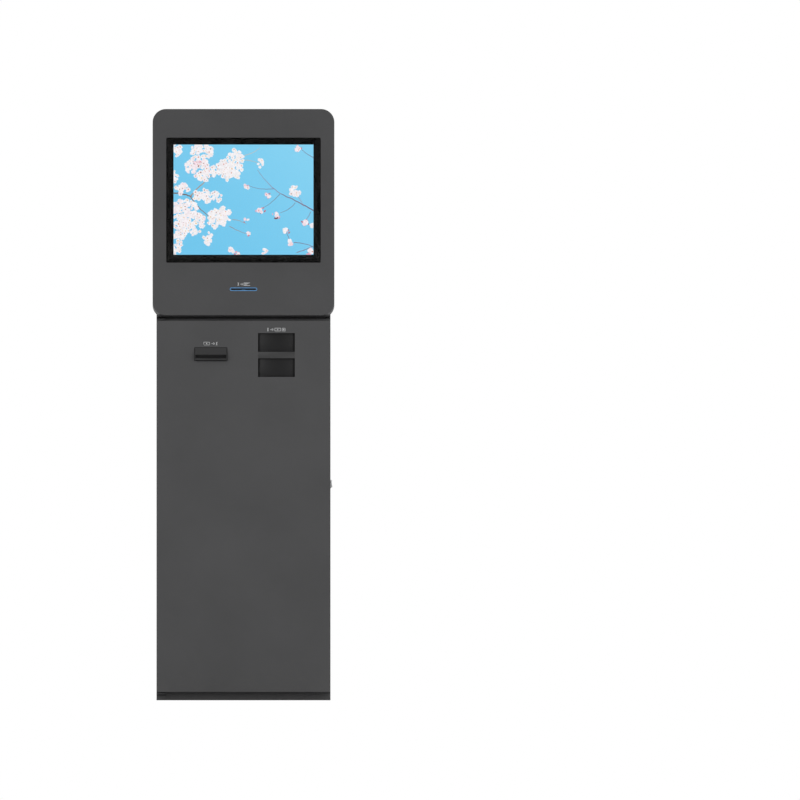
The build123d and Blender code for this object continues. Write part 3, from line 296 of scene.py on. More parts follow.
class Effects:
    """Shader node groups that several finishes share."""

    def __init__(self) -> None:
        """Builds each group once."""
        self.peel = self._peel()
        self.dust = self._dust()
        self.rub = self._rub()
        self.edge = self._edge()

    def _group(self, name: str, inputs: dict[str, float],
               outputs: dict[str, str]) -> tuple[NodeBook, bpy.types.Node, bpy.types.Node]:
        """Starts a group.

        Args:
            name: the group's name.
            inputs: its number inputs and their defaults.
            outputs: its outputs and their socket types.

        Returns:
            The group's node book, its input node and its output node.
        """
        group = bpy.data.node_groups.new(name, "ShaderNodeTree")
        for key, value in inputs.items():
            socket = group.interface.new_socket(key, in_out="INPUT", socket_type=NUMBER)
            socket.default_value = value
        for key, kind in outputs.items():
            group.interface.new_socket(key, in_out="OUTPUT", socket_type=kind)
        book = NodeBook(group)
        return book, book.add("NodeGroupInput"), book.add("NodeGroupOutput")

    def _peel(self) -> bpy.types.NodeTree:
        """Builds the fine skin of powder coat or moulded plastic: a height and a slow cloudiness.

        Returns:
            The group.
        """
        book, given, out = self._group("surface_skin", {"Scale": 900.0}, {"Height": NUMBER, "Cloud": NUMBER})
        fine = book.add("ShaderNodeTexNoise")
        fine.inputs["Detail"].default_value = 3.0
        cell = book.add("ShaderNodeTexVoronoi", feature="SMOOTH_F1")
        for node in (fine, cell):
            book.join(book.place(), node.inputs["Vector"])
            book.join(given.outputs["Scale"], node.inputs["Scale"])
        height = book.math("ADD", fine.outputs["Fac"], cell.outputs["Distance"])
        book.join(book.math("MULTIPLY", height, 0.5), out.inputs["Height"])
        book.join(book.noise(5.0, 4.0, 0.55), out.inputs["Cloud"])
        return book.tree

    def _dust(self) -> bpy.types.NodeTree:
        """Builds a mask of fine dust that gathers low down and on upward faces.

        Returns:
            The group.
        """
        amounts = {"Floor Height": 0.12, "Amount": 0.5}
        book, given, out = self._group("settled_dust", amounts, {"Mask": NUMBER})
        split = book.add("ShaderNodeSeparateXYZ")
        book.join(book.place(), split.inputs[0])
        ratio = book.math("DIVIDE", split.outputs["Z"], given.outputs["Floor Height"])
        low = book.spread(ratio, 0.0, 1.0, 1.0, 0.0)
        surface = book.add("ShaderNodeNewGeometry")
        normal = book.add("ShaderNodeSeparateXYZ")
        book.join(surface.outputs["Normal"], normal.inputs[0])
        up = book.spread(normal.outputs["Z"], 0.6, 1.0, 0.0, 0.7)
        both = book.math("MAXIMUM", book.math("MULTIPLY", low, 0.6), up)
        patchy = book.spread(book.noise(38.0, 5.0, 0.65), 0.35, 0.75, 0.15, 1.0)
        mask = book.math("MULTIPLY", book.math("MULTIPLY", both, patchy), given.outputs["Amount"])
        book.join(mask, out.inputs["Mask"])
        return book.tree

    def _rub(self) -> bpy.types.NodeTree:
        """Builds a mask of faint hair scratches and rubbed patches.

        Returns:
            The group.
        """
        book, given, out = self._group("rubbed_patches", {"Amount": 0.5}, {"Mask": NUMBER})
        lines = book.spread(book.noise(60.0, 3.0, 0.7, (0.6, 0.6, 14.0)), 0.62, 0.7, 0.0, 1.0)
        patch = book.spread(book.noise(9.0, 2.0), 0.5, 0.68, 0.0, 1.0)
        mask = book.math("MULTIPLY", book.math("MULTIPLY", lines, patch), given.outputs["Amount"])
        book.join(mask, out.inputs["Mask"])
        return book.tree

    def _edge(self) -> bpy.types.NodeTree:
        """Builds the rounding of sheared and folded edges, and a mask of the wear on them.

        Returns:
            The group.
        """
        book, given, out = self._group("worn_edge", {"Radius": 0.0008}, {"Mask": NUMBER, "Normal": VECTOR})
        rounding = book.add("ShaderNodeBevel", samples=4)
        book.join(given.outputs["Radius"], rounding.inputs["Radius"])
        surface = book.add("ShaderNodeNewGeometry")
        same = book.add("ShaderNodeVectorMath", operation="DOT_PRODUCT")
        book.join(rounding.outputs["Normal"], same.inputs[0])
        book.join(surface.outputs["Normal"], same.inputs[1])
        edge = book.spread(same.outputs["Value"], 0.75, 0.99, 1.0, 0.0)
        patchy = book.spread(book.noise(55.0, 4.0, 0.7), 0.45, 0.7, 0.0, 1.0)
        book.join(book.math("MULTIPLY", edge, patchy), out.inputs["Mask"])
        book.join(rounding.outputs["Normal"], out.inputs["Normal"])
        return book.tree


EFFECTS = Effects()


def start_material(name: str) -> tuple[bpy.types.Material, NodeBook, bpy.types.Node]:
    """Starts a material with one shader.

    Args:
        name: the material's name.

    Returns:
        The material, its node book and its shader.
    """
    material = bpy.data.materials.new(name)
    material.use_nodes = True
    tree = material.node_tree
    tree.nodes.clear()
    book = NodeBook(tree)
    shader = book.add("ShaderNodeBsdfPrincipled")
    out = book.add("ShaderNodeOutputMaterial")
    book.join(shader.outputs[0], out.inputs[0])
    return material, book, shader


@dataclass(frozen=True)
class CoatedSteel:
    """Powder-coated sheet steel: fine orange peel, cloudy tone, faint rubs and settled dust."""

    name: str
    colour: Colour
    roughness: float = 0.46
    peel_scale: float = 900.0
    peel_depth: float = 0.00006
    dust: float = 0.35
    rub: float = 0.4
    edge_radius: float = 0.0009
    wear: float = 0.35
    dark_shade: float = 0.93
    light_shade: float = 1.07
    rub_shade: float = 1.8
    rub_share: float = 0.25
    rub_polish: float = 0.12
    dust_colour: Colour = srgb(126, 122, 116)
    dust_share: float = 0.35
    dust_dulling: float = 0.3
    worn_shade: float = 2.6
    gloss: float = 0.4

    def material(self) -> bpy.types.Material:
        """Builds the finish.

        Returns:
            The material.
        """
        material, book, shader = start_material(self.name)
        skin = book.effect(EFFECTS.peel, Scale=self.peel_scale)
        rub = book.effect(EFFECTS.rub, Amount=self.rub).outputs["Mask"]
        dust = book.effect(EFFECTS.dust, Amount=self.dust).outputs["Mask"]
        edge = book.effect(EFFECTS.edge, Radius=self.edge_radius)
        tone = book.mottle(book.cloud(skin.outputs["Cloud"]), self.colour, self.dark_shade, self.light_shade)
        for mask, share, colour in (
                (rub, self.rub_share, shade(self.colour, self.rub_shade)),
                (dust, self.dust_share, self.dust_colour),
                (edge.outputs["Mask"], self.wear, shade(self.colour, self.worn_shade)),
        ):
            tone = book.mix(book.math("MULTIPLY", mask, share), tone, colour)
        book.join(tone, shader.inputs["Base Color"])
        rough = book.cloud(skin.outputs["Cloud"], self.roughness - 0.04, self.roughness + 0.05)
        rough = book.math("ADD", rough, book.math("MULTIPLY", dust, self.dust_dulling))
        rough = book.math("SUBTRACT", rough, book.math("MULTIPLY", rub, self.rub_polish))
        book.join(rough, shader.inputs["Roughness"])
        book.join(book.bump(skin.outputs["Height"], self.peel_depth, edge.outputs["Normal"]),
                  shader.inputs["Normal"])
        shader.inputs["Specular IOR Level"].default_value = self.gloss
        return material


@dataclass(frozen=True)
class Plastic:
    """Moulded plastic with a spark-eroded texture, or a polished one where the texture is shallow."""

    name: str
    colour: Colour
    roughness: float = 0.5
    texture_scale: float = 2200.0
    texture_depth: float = 0.00003
    coat: float = 0.0
    gloss: float = 0.5
    edge_radius: float = 0.0006
    dark_shade: float = 0.9
    light_shade: float = 1.1
    rough_swing: float = 0.05
    rub_colour: Colour = srgb(120, 120, 118)
    rub_share: float = 0.12
    coat_roughness: float = 0.08

    def material(self) -> bpy.types.Material:
        """Builds the finish.

        Returns:
            The material.
        """
        material, book, shader = start_material(self.name)
        skin = book.effect(EFFECTS.peel, Scale=self.texture_scale)
        rub = book.effect(EFFECTS.rub)
        edge = book.effect(EFFECTS.edge, Radius=self.edge_radius)
        tone = book.mottle(book.cloud(skin.outputs["Cloud"]), self.colour, self.dark_shade, self.light_shade)
        tone = book.mix(book.math("MULTIPLY", rub.outputs["Mask"], self.rub_share), tone, self.rub_colour)
        book.join(tone, shader.inputs["Base Color"])
        rough = book.cloud(skin.outputs["Cloud"], self.roughness - self.rough_swing,
                           self.roughness + self.rough_swing)
        book.join(rough, shader.inputs["Roughness"])
        book.join(book.bump(skin.outputs["Height"], self.texture_depth, edge.outputs["Normal"]),
                  shader.inputs["Normal"])
        shader.inputs["Specular IOR Level"].default_value = self.gloss
        shader.inputs["Coat Weight"].default_value = self.coat
        shader.inputs["Coat Roughness"].default_value = self.coat_roughness
        return material


@dataclass(frozen=True)
class Metal:
    """Bare metal, polished or with a drawn or spangled grain."""

    name: str
    colour: Colour
    roughness: float = 0.3
    grain: Sequence[float] = (1.0, 1.0, 1.0)
    grain_scale: float = 120.0
    grain_depth: float = 0.00002
    edge_radius: float = 0.0005
    dark_shade: float = 0.82
    light_shade: float = 1.12

    def material(self) -> bpy.types.Material:
        """Builds the finish.

        Returns:
            The material.
        """
        material, book, shader = start_material(self.name)
        grain = book.noise(self.grain_scale, 4.0, 0.6, self.grain)
        edge = book.effect(EFFECTS.edge, Radius=self.edge_radius)
        tone = book.mottle(grain, self.colour, self.dark_shade, self.light_shade)
        book.join(tone, shader.inputs["Base Color"])
        book.join(book.cloud(grain, self.roughness - 0.08, self.roughness + 0.1), shader.inputs["Roughness"])
        book.join(book.bump(grain, self.grain_depth, edge.outputs["Normal"]), shader.inputs["Normal"])
        shader.inputs["Metallic"].default_value = 1.0
        return material


@dataclass(frozen=True)
class Glass:
    """Clear touch glass with a low-reflection coating."""

    name: str = "touch_glass_clear"
    ior: float = 1.12
    roughness: float = 0.02
    smear: float = 0.05
    tint: Colour = (0.97, 0.985, 0.99)

    def material(self) -> bpy.types.Material:
        """Builds the finish.

        Returns:
            The material.
        """
        material, book, shader = start_material(self.name)
        wiped = book.noise(22.0, 4.0, 0.6)
        rough = book.spread(wiped, 0.55, 0.8, self.roughness, self.roughness + self.smear)
        book.join(rough, shader.inputs["Roughness"])
        shader.inputs["Base Color"].default_value = (*self.tint, 1.0)
        shader.inputs["Transmission Weight"].default_value = 1.0
        shader.inputs["IOR"].default_value = self.ior
        return material


@dataclass(frozen=True)
class Lit:
    """A lit surface whose colour comes from the piece's own attribute, or is one colour."""

    name: str
    colour: Colour = (0.0, 0.0, 0.0)
    strength: float = 1.0
    attribute: str = ""
    unlit: Colour = (0.01, 0.01, 0.012)

    def material(self) -> bpy.types.Material:
        """Builds the finish.

        Returns:
            The material.
        """
        material, book, shader = start_material(self.name)
        if self.attribute:
            source = book.add("ShaderNodeAttribute", attribute_name=self.attribute)
            grid = book.spread(book.noise(700.0, 1.0), 0.2, 0.8, 0.97, 1.03)
            glow = book.add("ShaderNodeVectorMath", operation="SCALE")
            book.join(source.outputs["Color"], glow.inputs[0])
            book.join(grid, glow.inputs["Scale"])
            book.join(glow.outputs[0], shader.inputs["Emission Color"])
        else:
            cloud = book.cloud(book.noise(90.0, 2.0))
            book.join(book.mottle(cloud, self.colour, 0.8, 1.15), shader.inputs["Emission Color"])
        shader.inputs["Emission Strength"].default_value = self.strength
        shader.inputs["Base Color"].default_value = (*self.unlit, 1.0)
        shader.inputs["Roughness"].default_value = 0.4
        shader.inputs["Specular IOR Level"].default_value = 0.1
        return material


@dataclass(frozen=True)
class Rubber:
    """Matt rubber with a bloom of dust."""

    name: str
    colour: Colour = (0.018, 0.018, 0.019)

    def material(self) -> bpy.types.Material:
        """Builds the finish.

        Returns:
            The material.
        """
        material, book, shader = start_material(self.name)
        bloom = book.noise(160.0, 4.0, 0.6)
        book.join(book.mottle(bloom, self.colour, 0.7, 1.5), shader.inputs["Base Color"])
        book.join(book.cloud(bloom, 0.7, 0.9), shader.inputs["Roughness"])
        book.join(book.bump(book.noise(1500.0, 2.0), 0.00005), shader.inputs["Normal"])
        return material


@dataclass(frozen=True)
class Paper:
    """Thermal paper: off-white, with a faint fibre."""

    name: str = "thermal_paper"

    def material(self) -> bpy.types.Material:
        """Builds the finish.

        Returns:
            The material.
        """
        material, book, shader = start_material(self.name)
        fibre = book.noise(900.0, 4.0, 0.6)
        book.join(book.mix(fibre, srgb(226, 226, 220), srgb(244, 244, 240)), shader.inputs["Base Color"])
        shader.inputs["Roughness"].default_value = 0.75
        book.join(book.bump(fibre, 0.00003), shader.inputs["Normal"])
        return material


# ---------------------------------------------------------------- mesh tools
def mesh_data(name: str, mesh: bmesh.types.BMesh) -> bpy.types.Mesh:
    """Turns a bmesh into mesh data and frees it.

    Args:
        name: the data's name.
        mesh: the bmesh.

    Returns:
        The mesh data.
    """
    data = bpy.data.meshes.new(name)
    mesh.to_mesh(data)
    mesh.free()
    return data


def add_object(name: str, data: bpy.types.ID) -> bpy.types.Object:
    """Puts an object into the scene.

    Args:
        name: the object's name.
        data: its mesh, curve, light or camera.

    Returns:
        The object.
    """
    made = bpy.data.objects.new(name, data)
    bpy.context.scene.collection.objects.link(made)
    return made


class Shape:
    """A bmesh under construction, and the tools that this object's pieces share."""

    def __init__(self) -> None:
        """Starts an empty shape."""
        self.mesh = bmesh.new()

    def box(self, low: Vector, high: Vector) -> list[bmesh.types.BMVert]:
        """Adds a box.

        Args:
            low: its lowest corner.
            high: its highest corner.

        Returns:
            Its vertices.
        """
        low, high = Vector(low), Vector(high)
        made = bmesh.ops.create_cube(self.mesh, size=1.0)["verts"]
        place = Matrix.Translation((low + high) / 2) @ Matrix.Diagonal((*(high - low), 1.0))
        bmesh.ops.transform(self.mesh, matrix=place, verts=made)
        return made

    def slab(self, width: float, height: float, radius: float, depth: float, place: Matrix,
             segments: int = 8) -> list[bmesh.types.BMVert]:
        """Adds a plate with rounded corners, whose outline lies across the place's X and Y.

        Args:
            width: size along X.
            height: size along Y.
            radius: corner radius.
            depth: thickness along Z, from the outline.
            place: where the outline's centre goes.
            segments: facets of each corner.

        Returns:
            The plate's vertices.
        """
        start = len(self.mesh.verts)
        grid = bmesh.ops.create_grid(self.mesh, x_segments=1, y_segments=1, size=0.5)["verts"]
        bmesh.ops.scale(self.mesh, vec=(width, height, 1.0), verts=grid)
        corner = min(radius, width / 2.01, height / 2.01)
        bmesh.ops.bevel(self.mesh, geom=grid, offset=corner, segments=segments, profile=0.5,
                        affect="VERTICES", material=-1)
        self.mesh.verts.ensure_lookup_table()
        outline = self.mesh.verts[start:] if start else list(self.mesh.verts)
        faces = {face for vert in outline for face in vert.link_faces}
        raised = bmesh.ops.extrude_face_region(self.mesh, geom=list(faces), use_keep_orig=True)["geom"]
        top = [item for item in raised if isinstance(item, bmesh.types.BMVert)]
        bmesh.ops.translate(self.mesh, vec=(0, 0, depth), verts=top)
        made = list({*outline, *top})
        bmesh.ops.transform(self.mesh, matrix=place, verts=made)
        return made

    def lathe(self, profile: Sequence[tuple[float, float]], place: Matrix, steps: int = 48) -> None:
        """Turns an outline about the place's Z.

        Args:
            profile: (radius, height) of each point.
            place: where the axis goes.
            steps: facets of the turn.
        """
        verts = [self.mesh.verts.new((radius, 0.0, height)) for radius, height in profile]
        edges = [self.mesh.edges.new(pair) for pair in zip(verts, verts[1:])]
        bmesh.ops.spin(self.mesh, geom=verts + edges, cent=(0, 0, 0), axis=(0, 0, 1), angle=math.tau,
                       steps=steps, use_merge=True, use_duplicate=False)
        turned = {vert for edge in edges if edge.is_valid for vert in edge.verts}
        turned.update(vert for vert in verts if vert.is_valid)
        front = list(turned)
        while front:
            vert = front.pop()
            for edge in vert.link_edges:
                other = edge.other_vert(vert)
                if other not in turned:
                    turned.add(other)
                    front.append(other)
        bmesh.ops.transform(self.mesh, matrix=place, verts=list(turned))

    def soften(self, radius: float) -> None:
        """Rounds the edges that turn more than 30 degrees.

        Args:
            radius: radius of the rounding.
        """
        limit = math.radians(30.0)
        sharp = [edge for edge in self.mesh.edges
                 if len(edge.link_faces) == 2 and edge.calc_face_angle(0.0) > limit]
        bmesh.ops.bevel(self.mesh, geom=sharp, offset=radius, segments=2, profile=0.5, affect="EDGES",
                        clamp_overlap=True, material=-1)

    def finish(self, name: str, merge: float = 0.000005, smooth: float = 35.0) -> bpy.types.Object:
        """Turns the shape into an object whose faces point outwards.

        Args:
            name: the object's name.
            merge: distance within which vertices become one.
            smooth: edges that turn less than this many degrees are shaded smooth.

        Returns:
            The object.
        """
        bmesh.ops.remove_doubles(self.mesh, verts=self.mesh.verts, dist=merge)
        bmesh.ops.dissolve_degenerate(self.mesh, edges=self.mesh.edges, dist=merge)
        bmesh.ops.recalc_face_normals(self.mesh, faces=self.mesh.faces)
        data = mesh_data(name, self.mesh)
        data.set_sharp_from_angle(angle=math.radians(smooth))
        for polygon in data.polygons:
            polygon.use_smooth = True
        return add_object(name, data)


def facing(centre: Sequence[float], out: Sequence[float], up: Sequence[float] = (0, 0, 1)) -> Matrix:
    """Makes a place whose Z points out of a face and whose Y points up along it.

    Args:
        centre: the place's origin.
        out: direction of its Z.
        up: direction nearest to its Y.

    Returns:
        The place as a matrix.
    """
    z_axis = Vector(out).normalized()
    x_axis = Vector(up).cross(z_axis).normalized()
    y_axis = z_axis.cross(x_axis)
    turn = Matrix((x_axis, y_axis, z_axis)).transposed().to_4x4()
    return Matrix.Translation(Vector(centre)) @ turn


def set_down(piece: bpy.types.Object, material: bpy.types.Material, body: Body,
             stands_for: Sequence[str] = ()) -> bpy.types.Object:
    """Dresses a new piece, gives it its body and hides the CAD nodes that it stands for.

    Args:
        piece: the piece.
        material: its finish.
        body: the body that it moves with.
        stands_for: CAD nodes that it replaces.

    Returns:
        The piece.
    """
    piece.data.materials.clear()
    piece.data.materials.append(material)
    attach(piece, body.value)
    if stands_for:
        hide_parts(*stands_for)
    LOG.info("%s rides on %s", piece.name, body.value)
    return piece


@dataclass
class HeadFrame:
    """The head's own frame: x across, y square to its face and towards the rear, z up the lean."""

    length: float = 563.5 * MM
    depth: float = 48.0 * MM
    origin: Vector = field(init=False)
    out: Vector = field(init=False)
    up: Vector = field(init=False)

    def __post_init__(self) -> None:
        """Finds the head's lower rear edge from the CAD housing."""
        low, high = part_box("head_housing")
        self.origin = Vector((0.0, high.y - self.length * math.sin(LEAN), low.z))
        self.out = Vector((0.0, -math.cos(LEAN), math.sin(LEAN)))
        self.up = Vector((0.0, math.sin(LEAN), math.cos(LEAN)))

    def at(self, across: float, back: float, up: float) -> Vector:
        """Returns the world place of a point given in the head's frame."""
        return self.origin + Vector((across, 0.0, 0.0)) - self.out * back + self.up * up

    def face(self, across: float, up: float, behind: float = 0.0) -> Matrix:
        """Returns a place on the head's front, with Z out of it and Y up the lean.

        Args:
            across: x of the place.
            up: z of the place, along the lean.
            behind: how far it lies behind the front.

        Returns:
            The place as a matrix.
        """
        return facing(self.at(across, behind - self.depth, up), self.out, self.up)


# ---------------------------------------------------------------- the lit picture
@dataclass
class ScreenPicture:
    """The picture on the display: a spring sky with blossom, in flat layers behind the glass."""

    head: HeadFrame
    width: float = 376.3 * MM
    height: float = 301.1 * MM
    middle: float = 316.35 * MM
    panel_depth: float = 5.0 * MM
    layer: float = 0.005 * MM
    layers: int = 100
    leaf: float = 0.003 * MM
    plate: float = 0.01 * MM
    clearance: float = 0.03 * MM
    margin: float = 0.2 * MM
    petals: int = 5
    density: float = 1.55
    seed: int = 11
    tints: list[Colour] = field(default_factory=list)
    level: int = 0

    def __post_init__(self) -> None:
        """Prepares the random draws and the two outlines that are stamped."""
        self.draw = random.Random(self.seed)
        self.petal = self._outline("petal_outline", 8, 0.46, 0.5, 0.47)
        self.dot = self._outline("dot_outline", 6, 1.0, 1.0, 0.0)

    def _outline(self, name: str, sides: int, wide: float, tall: float, rise: float) -> bpy.types.Mesh:
        """Makes one flat outline.

        Args:
            name: the mesh's name.
            sides: number of sides.
            wide: half width.
            tall: half height.
            rise: shift along Y.

        Returns:
            The outline as a mesh.
        """
        mesh = bmesh.new()
        verts = bmesh.ops.create_circle(mesh, segments=sides, radius=1.0, cap_ends=True)["verts"]
        bmesh.ops.scale(mesh, vec=(wide, tall, 1.0), verts=verts)
        bmesh.ops.translate(mesh, vec=(0.0, rise, 0.0), verts=verts)
        return mesh_data(name, mesh)

    def _stamp(self, outline: bpy.types.Mesh, place: Matrix, tint: Colour) -> None:
        """Adds a copy of an outline to the picture.

        Args:
            outline: the outline.
            place: where it goes, in picture metres from the lower left corner.
            tint: its colour.
        """
        copy = outline.copy()
        copy.transform(place)
        self.mesh.from_mesh(copy)
        self.tints.extend([tint] * len(copy.vertices))
        bpy.data.meshes.remove(copy)

    def _next_depth(self) -> float:
        """Returns the height of the next layer."""
        self.level = (self.level + 1) % self.layers
        return self.level * self.layer

    def _blossom(self, x: float, y: float, size: float, blush: float) -> None:
        """Adds one five-petalled flower.

        Args:
            x: place across the picture.
            y: place up the picture.
            size: petal length.
            blush: how pink it is, from 0 to 1.
        """
        depth = self._next_depth()
        turn = self.draw.uniform(0.0, math.tau)
        squash = Matrix.Diagonal((1.0, self.draw.uniform(0.6, 1.0), 1.0, 1.0))
        centre = Matrix.Translation((x, y, depth)) @ Matrix.Rotation(turn, 4, "Z") @ squash
        for number in range(self.petals):
            light = self.draw.uniform(0.86, 1.0)
            tint = (0.99 * light, (0.955 - 0.3 * blush) * light, (0.97 - 0.2 * blush) * light)
            angle = number * math.tau / self.petals + self.draw.uniform(-0.12, 0.12)
            lift = Matrix.Translation((0, 0, number * self.layer / (self.petals + 1)))
            place = centre @ lift @ Matrix.Rotation(angle, 4, "Z") @ Matrix.Diagonal((size, size, 1.0, 1.0))
            self._stamp(self.petal, place, tint)
        if self.draw.random() < 0.62:
            heart = self.draw.choice((srgb(232, 186, 96), srgb(222, 140, 120), srgb(170, 104, 92),
                                      srgb(240, 206, 130), srgb(206, 120, 60)))
            reach = size * self.draw.uniform(0.16, 0.32)
            place = centre @ Matrix.Translation((0, 0, self.layer * 0.9))
            self._stamp(self.dot, place @ Matrix.Diagonal((reach, reach, 1, 1)), heart)

    def _cluster(self, u: float, v: float, ru: float, rv: float, count: int, blush: float) -> None:
        """Adds a soft-edged mass of flowers.

        Args:
            u: centre across, as a share of the width.
            v: centre up, as a share of the height.
            ru: half width, as a share of the width.
            rv: half height, as a share of the height.
            count: number of flowers.
            blush: how pink they are.
        """
        for _ in range(round(count * self.density)):
            angle = self.draw.uniform(0.0, math.tau)
            reach = math.sqrt(self.draw.random())
            x = (u + ru * reach * math.cos(angle)) * self.width
            y = (v + rv * reach * math.sin(angle)) * self.height
            self._blossom(x, y, self.draw.uniform(4.4, 7.4) * MM, blush * self.draw.random())

    def _twig(self, start: tuple[float, float], end: tuple[float, float], wide: float, thin: float,
              bow: float, tint: Colour, steps: int = 14) -> None:
        """Adds one bowed, tapering twig.

        Args:
            start: where it starts, as shares of the picture.
            end: where it ends.
            wide: width at its start.
            thin: width at its end.
            bow: how far its middle stands aside, as a share of its length.
            tint: its colour.
            steps: number of its lengths.
        """
        ribbon = bmesh.new()
        first = Vector((start[0] * self.width, start[1] * self.height, 0.0))
        last = Vector((end[0] * self.width, end[1] * self.height, 0.0))
        run = last - first
        aside = Vector((-run.y, run.x, 0.0)).normalized()
        depth = self._next_depth() * 0.2
        pair = [ribbon.verts.new(first + aside * side * wide / 2 + Vector((0, 0, depth))) for side in (-1, 1)]
        edge = ribbon.edges.new(pair)
        middle = first.copy()
        for number in range(1, steps + 1):
            share = number / steps
            knot = self.draw.uniform(-0.35, 0.35) * wide
            target = first + run * share + aside * (4 * bow * share * (1 - share) * run.length + knot)
            made = bmesh.ops.extrude_edge_only(ribbon, edges=[edge])["geom"]
            ends = [item for item in made if isinstance(item, bmesh.types.BMVert)]
            edge = next(item for item in made if isinstance(item, bmesh.types.BMEdge)
                        and all(vert in ends for vert in item.verts))
            bmesh.ops.translate(ribbon, vec=target - middle, verts=ends)
            narrow = (wide + (thin - wide) * share) / (wide + (thin - wide) * (number - 1) / steps)
            bmesh.ops.scale(ribbon, vec=(narrow, narrow, 1.0), verts=ends, space=Matrix.Translation(-target))
            middle = target
        data = mesh_data("twig", ribbon)
        self._stamp(data, Matrix.Identity(4), tint)
        bpy.data.meshes.remove(data)

    def _spray(self, u: float, v: float, buds: int, blush: float) -> None:
        """Adds a few buds and flowers at a twig's end.

        Args:
            u: place across, as a share of the width.
            v: place up, as a share of the height.
            buds: number of buds.
            blush: how pink the flowers are.
        """
        for _ in range(buds):
            x = (u + self.draw.gauss(0.0, 0.012)) * self.width
            y = (v + self.draw.gauss(0.0, 0.014)) * self.height
            tint = self.draw.choice((srgb(214, 92, 112), srgb(196, 104, 120), srgb(234, 170, 184),
                                     srgb(120, 70, 78)))
            size = self.draw.uniform(1.4, 2.6) * MM
            turn = Matrix.Rotation(self.draw.uniform(0, math.tau), 4, "Z")
            place = Matrix.Translation((x, y, self._next_depth())) @ turn
            self._stamp(self.dot, place @ Matrix.Diagonal((size, size * 1.7, 1, 1)), tint)
        self._cluster(u, v, 0.016, 0.02, buds // 2, blush)

    def _place(self) -> Matrix:
        """Returns the place of the picture's lower left corner, just in front of the panel."""
        low = self.middle - self.height / 2
        return self.head.face(-self.width / 2, low, self.panel_depth - self.clearance)

    def _leaf(self, name: str, flat: bmesh.types.BMesh, thickness: float, offset: float) -> bpy.types.Object:
        """Sets a flat part of the picture in its place and gives it a thickness.

        Args:
            name: the piece's name.
            flat: the flat part, from the picture's lower left corner.
            thickness: its thickness.
            offset: 1 to thicken towards the glass, -1 away from it.

        Returns:
            The piece.
        """
        bmesh.ops.transform(flat, matrix=self._place(), verts=flat.verts)
        piece = add_object(name, mesh_data(name, flat))
        leaf = piece.modifiers.new("leaf", "SOLIDIFY")
        leaf.thickness = thickness
        leaf.offset = offset
        return piece

    def _blossom_piece(self) -> bpy.types.Object:
        """Gives the layers their colours and trims them to the picture.

        Returns:
            The piece, as thin closed leaves.
        """
        layer = self.mesh.verts.layers.float_color.new("tint")
        for vert, tint in zip(self.mesh.verts, self.tints):
            vert[layer] = (*tint, 1.0)
        right, top = self.width - self.margin, self.height - self.margin
        for corner, normal in (((self.margin, 0, 0), (-1, 0, 0)), ((0, self.margin, 0), (0, -1, 0)),
                               ((right, 0, 0), (1, 0, 0)), ((0, top, 0), (0, 1, 0))):
            everything = [*self.mesh.verts, *self.mesh.edges, *self.mesh.faces]
            bmesh.ops.bisect_plane(self.mesh, geom=everything, plane_co=corner, plane_no=normal,
                                   clear_outer=True)
        return self._leaf("screen_blossom", self.mesh, self.leaf, 1.0)

    def _sky_piece(self) -> bpy.types.Object:
        """Makes the sky: a plate whose blue pales towards the upper right.

        Returns:
            The plate.
        """
        shape = bmesh.new()
        bmesh.ops.create_grid(shape, x_segments=24, y_segments=20, size=0.5)
        bmesh.ops.scale(shape, vec=(self.width, self.height, 1.0), verts=shape.verts)
        bmesh.ops.translate(shape, vec=(self.width / 2, self.height / 2, 0.0), verts=shape.verts)
        layer = shape.verts.layers.float_color.new("tint")
        deep, pale = srgb(113, 199, 237), srgb(136, 212, 243)
        for vert in shape.verts:
            share = max(0.0, min(1.0, 0.55 * vert.co.x / self.width + 0.45 * vert.co.y / self.height))
            vert[layer] = (*(a + (b - a) * share ** 1.6 for a, b in zip(deep, pale)), 1.0)
        return self._leaf("screen_sky", shape, self.plate, -1.0)

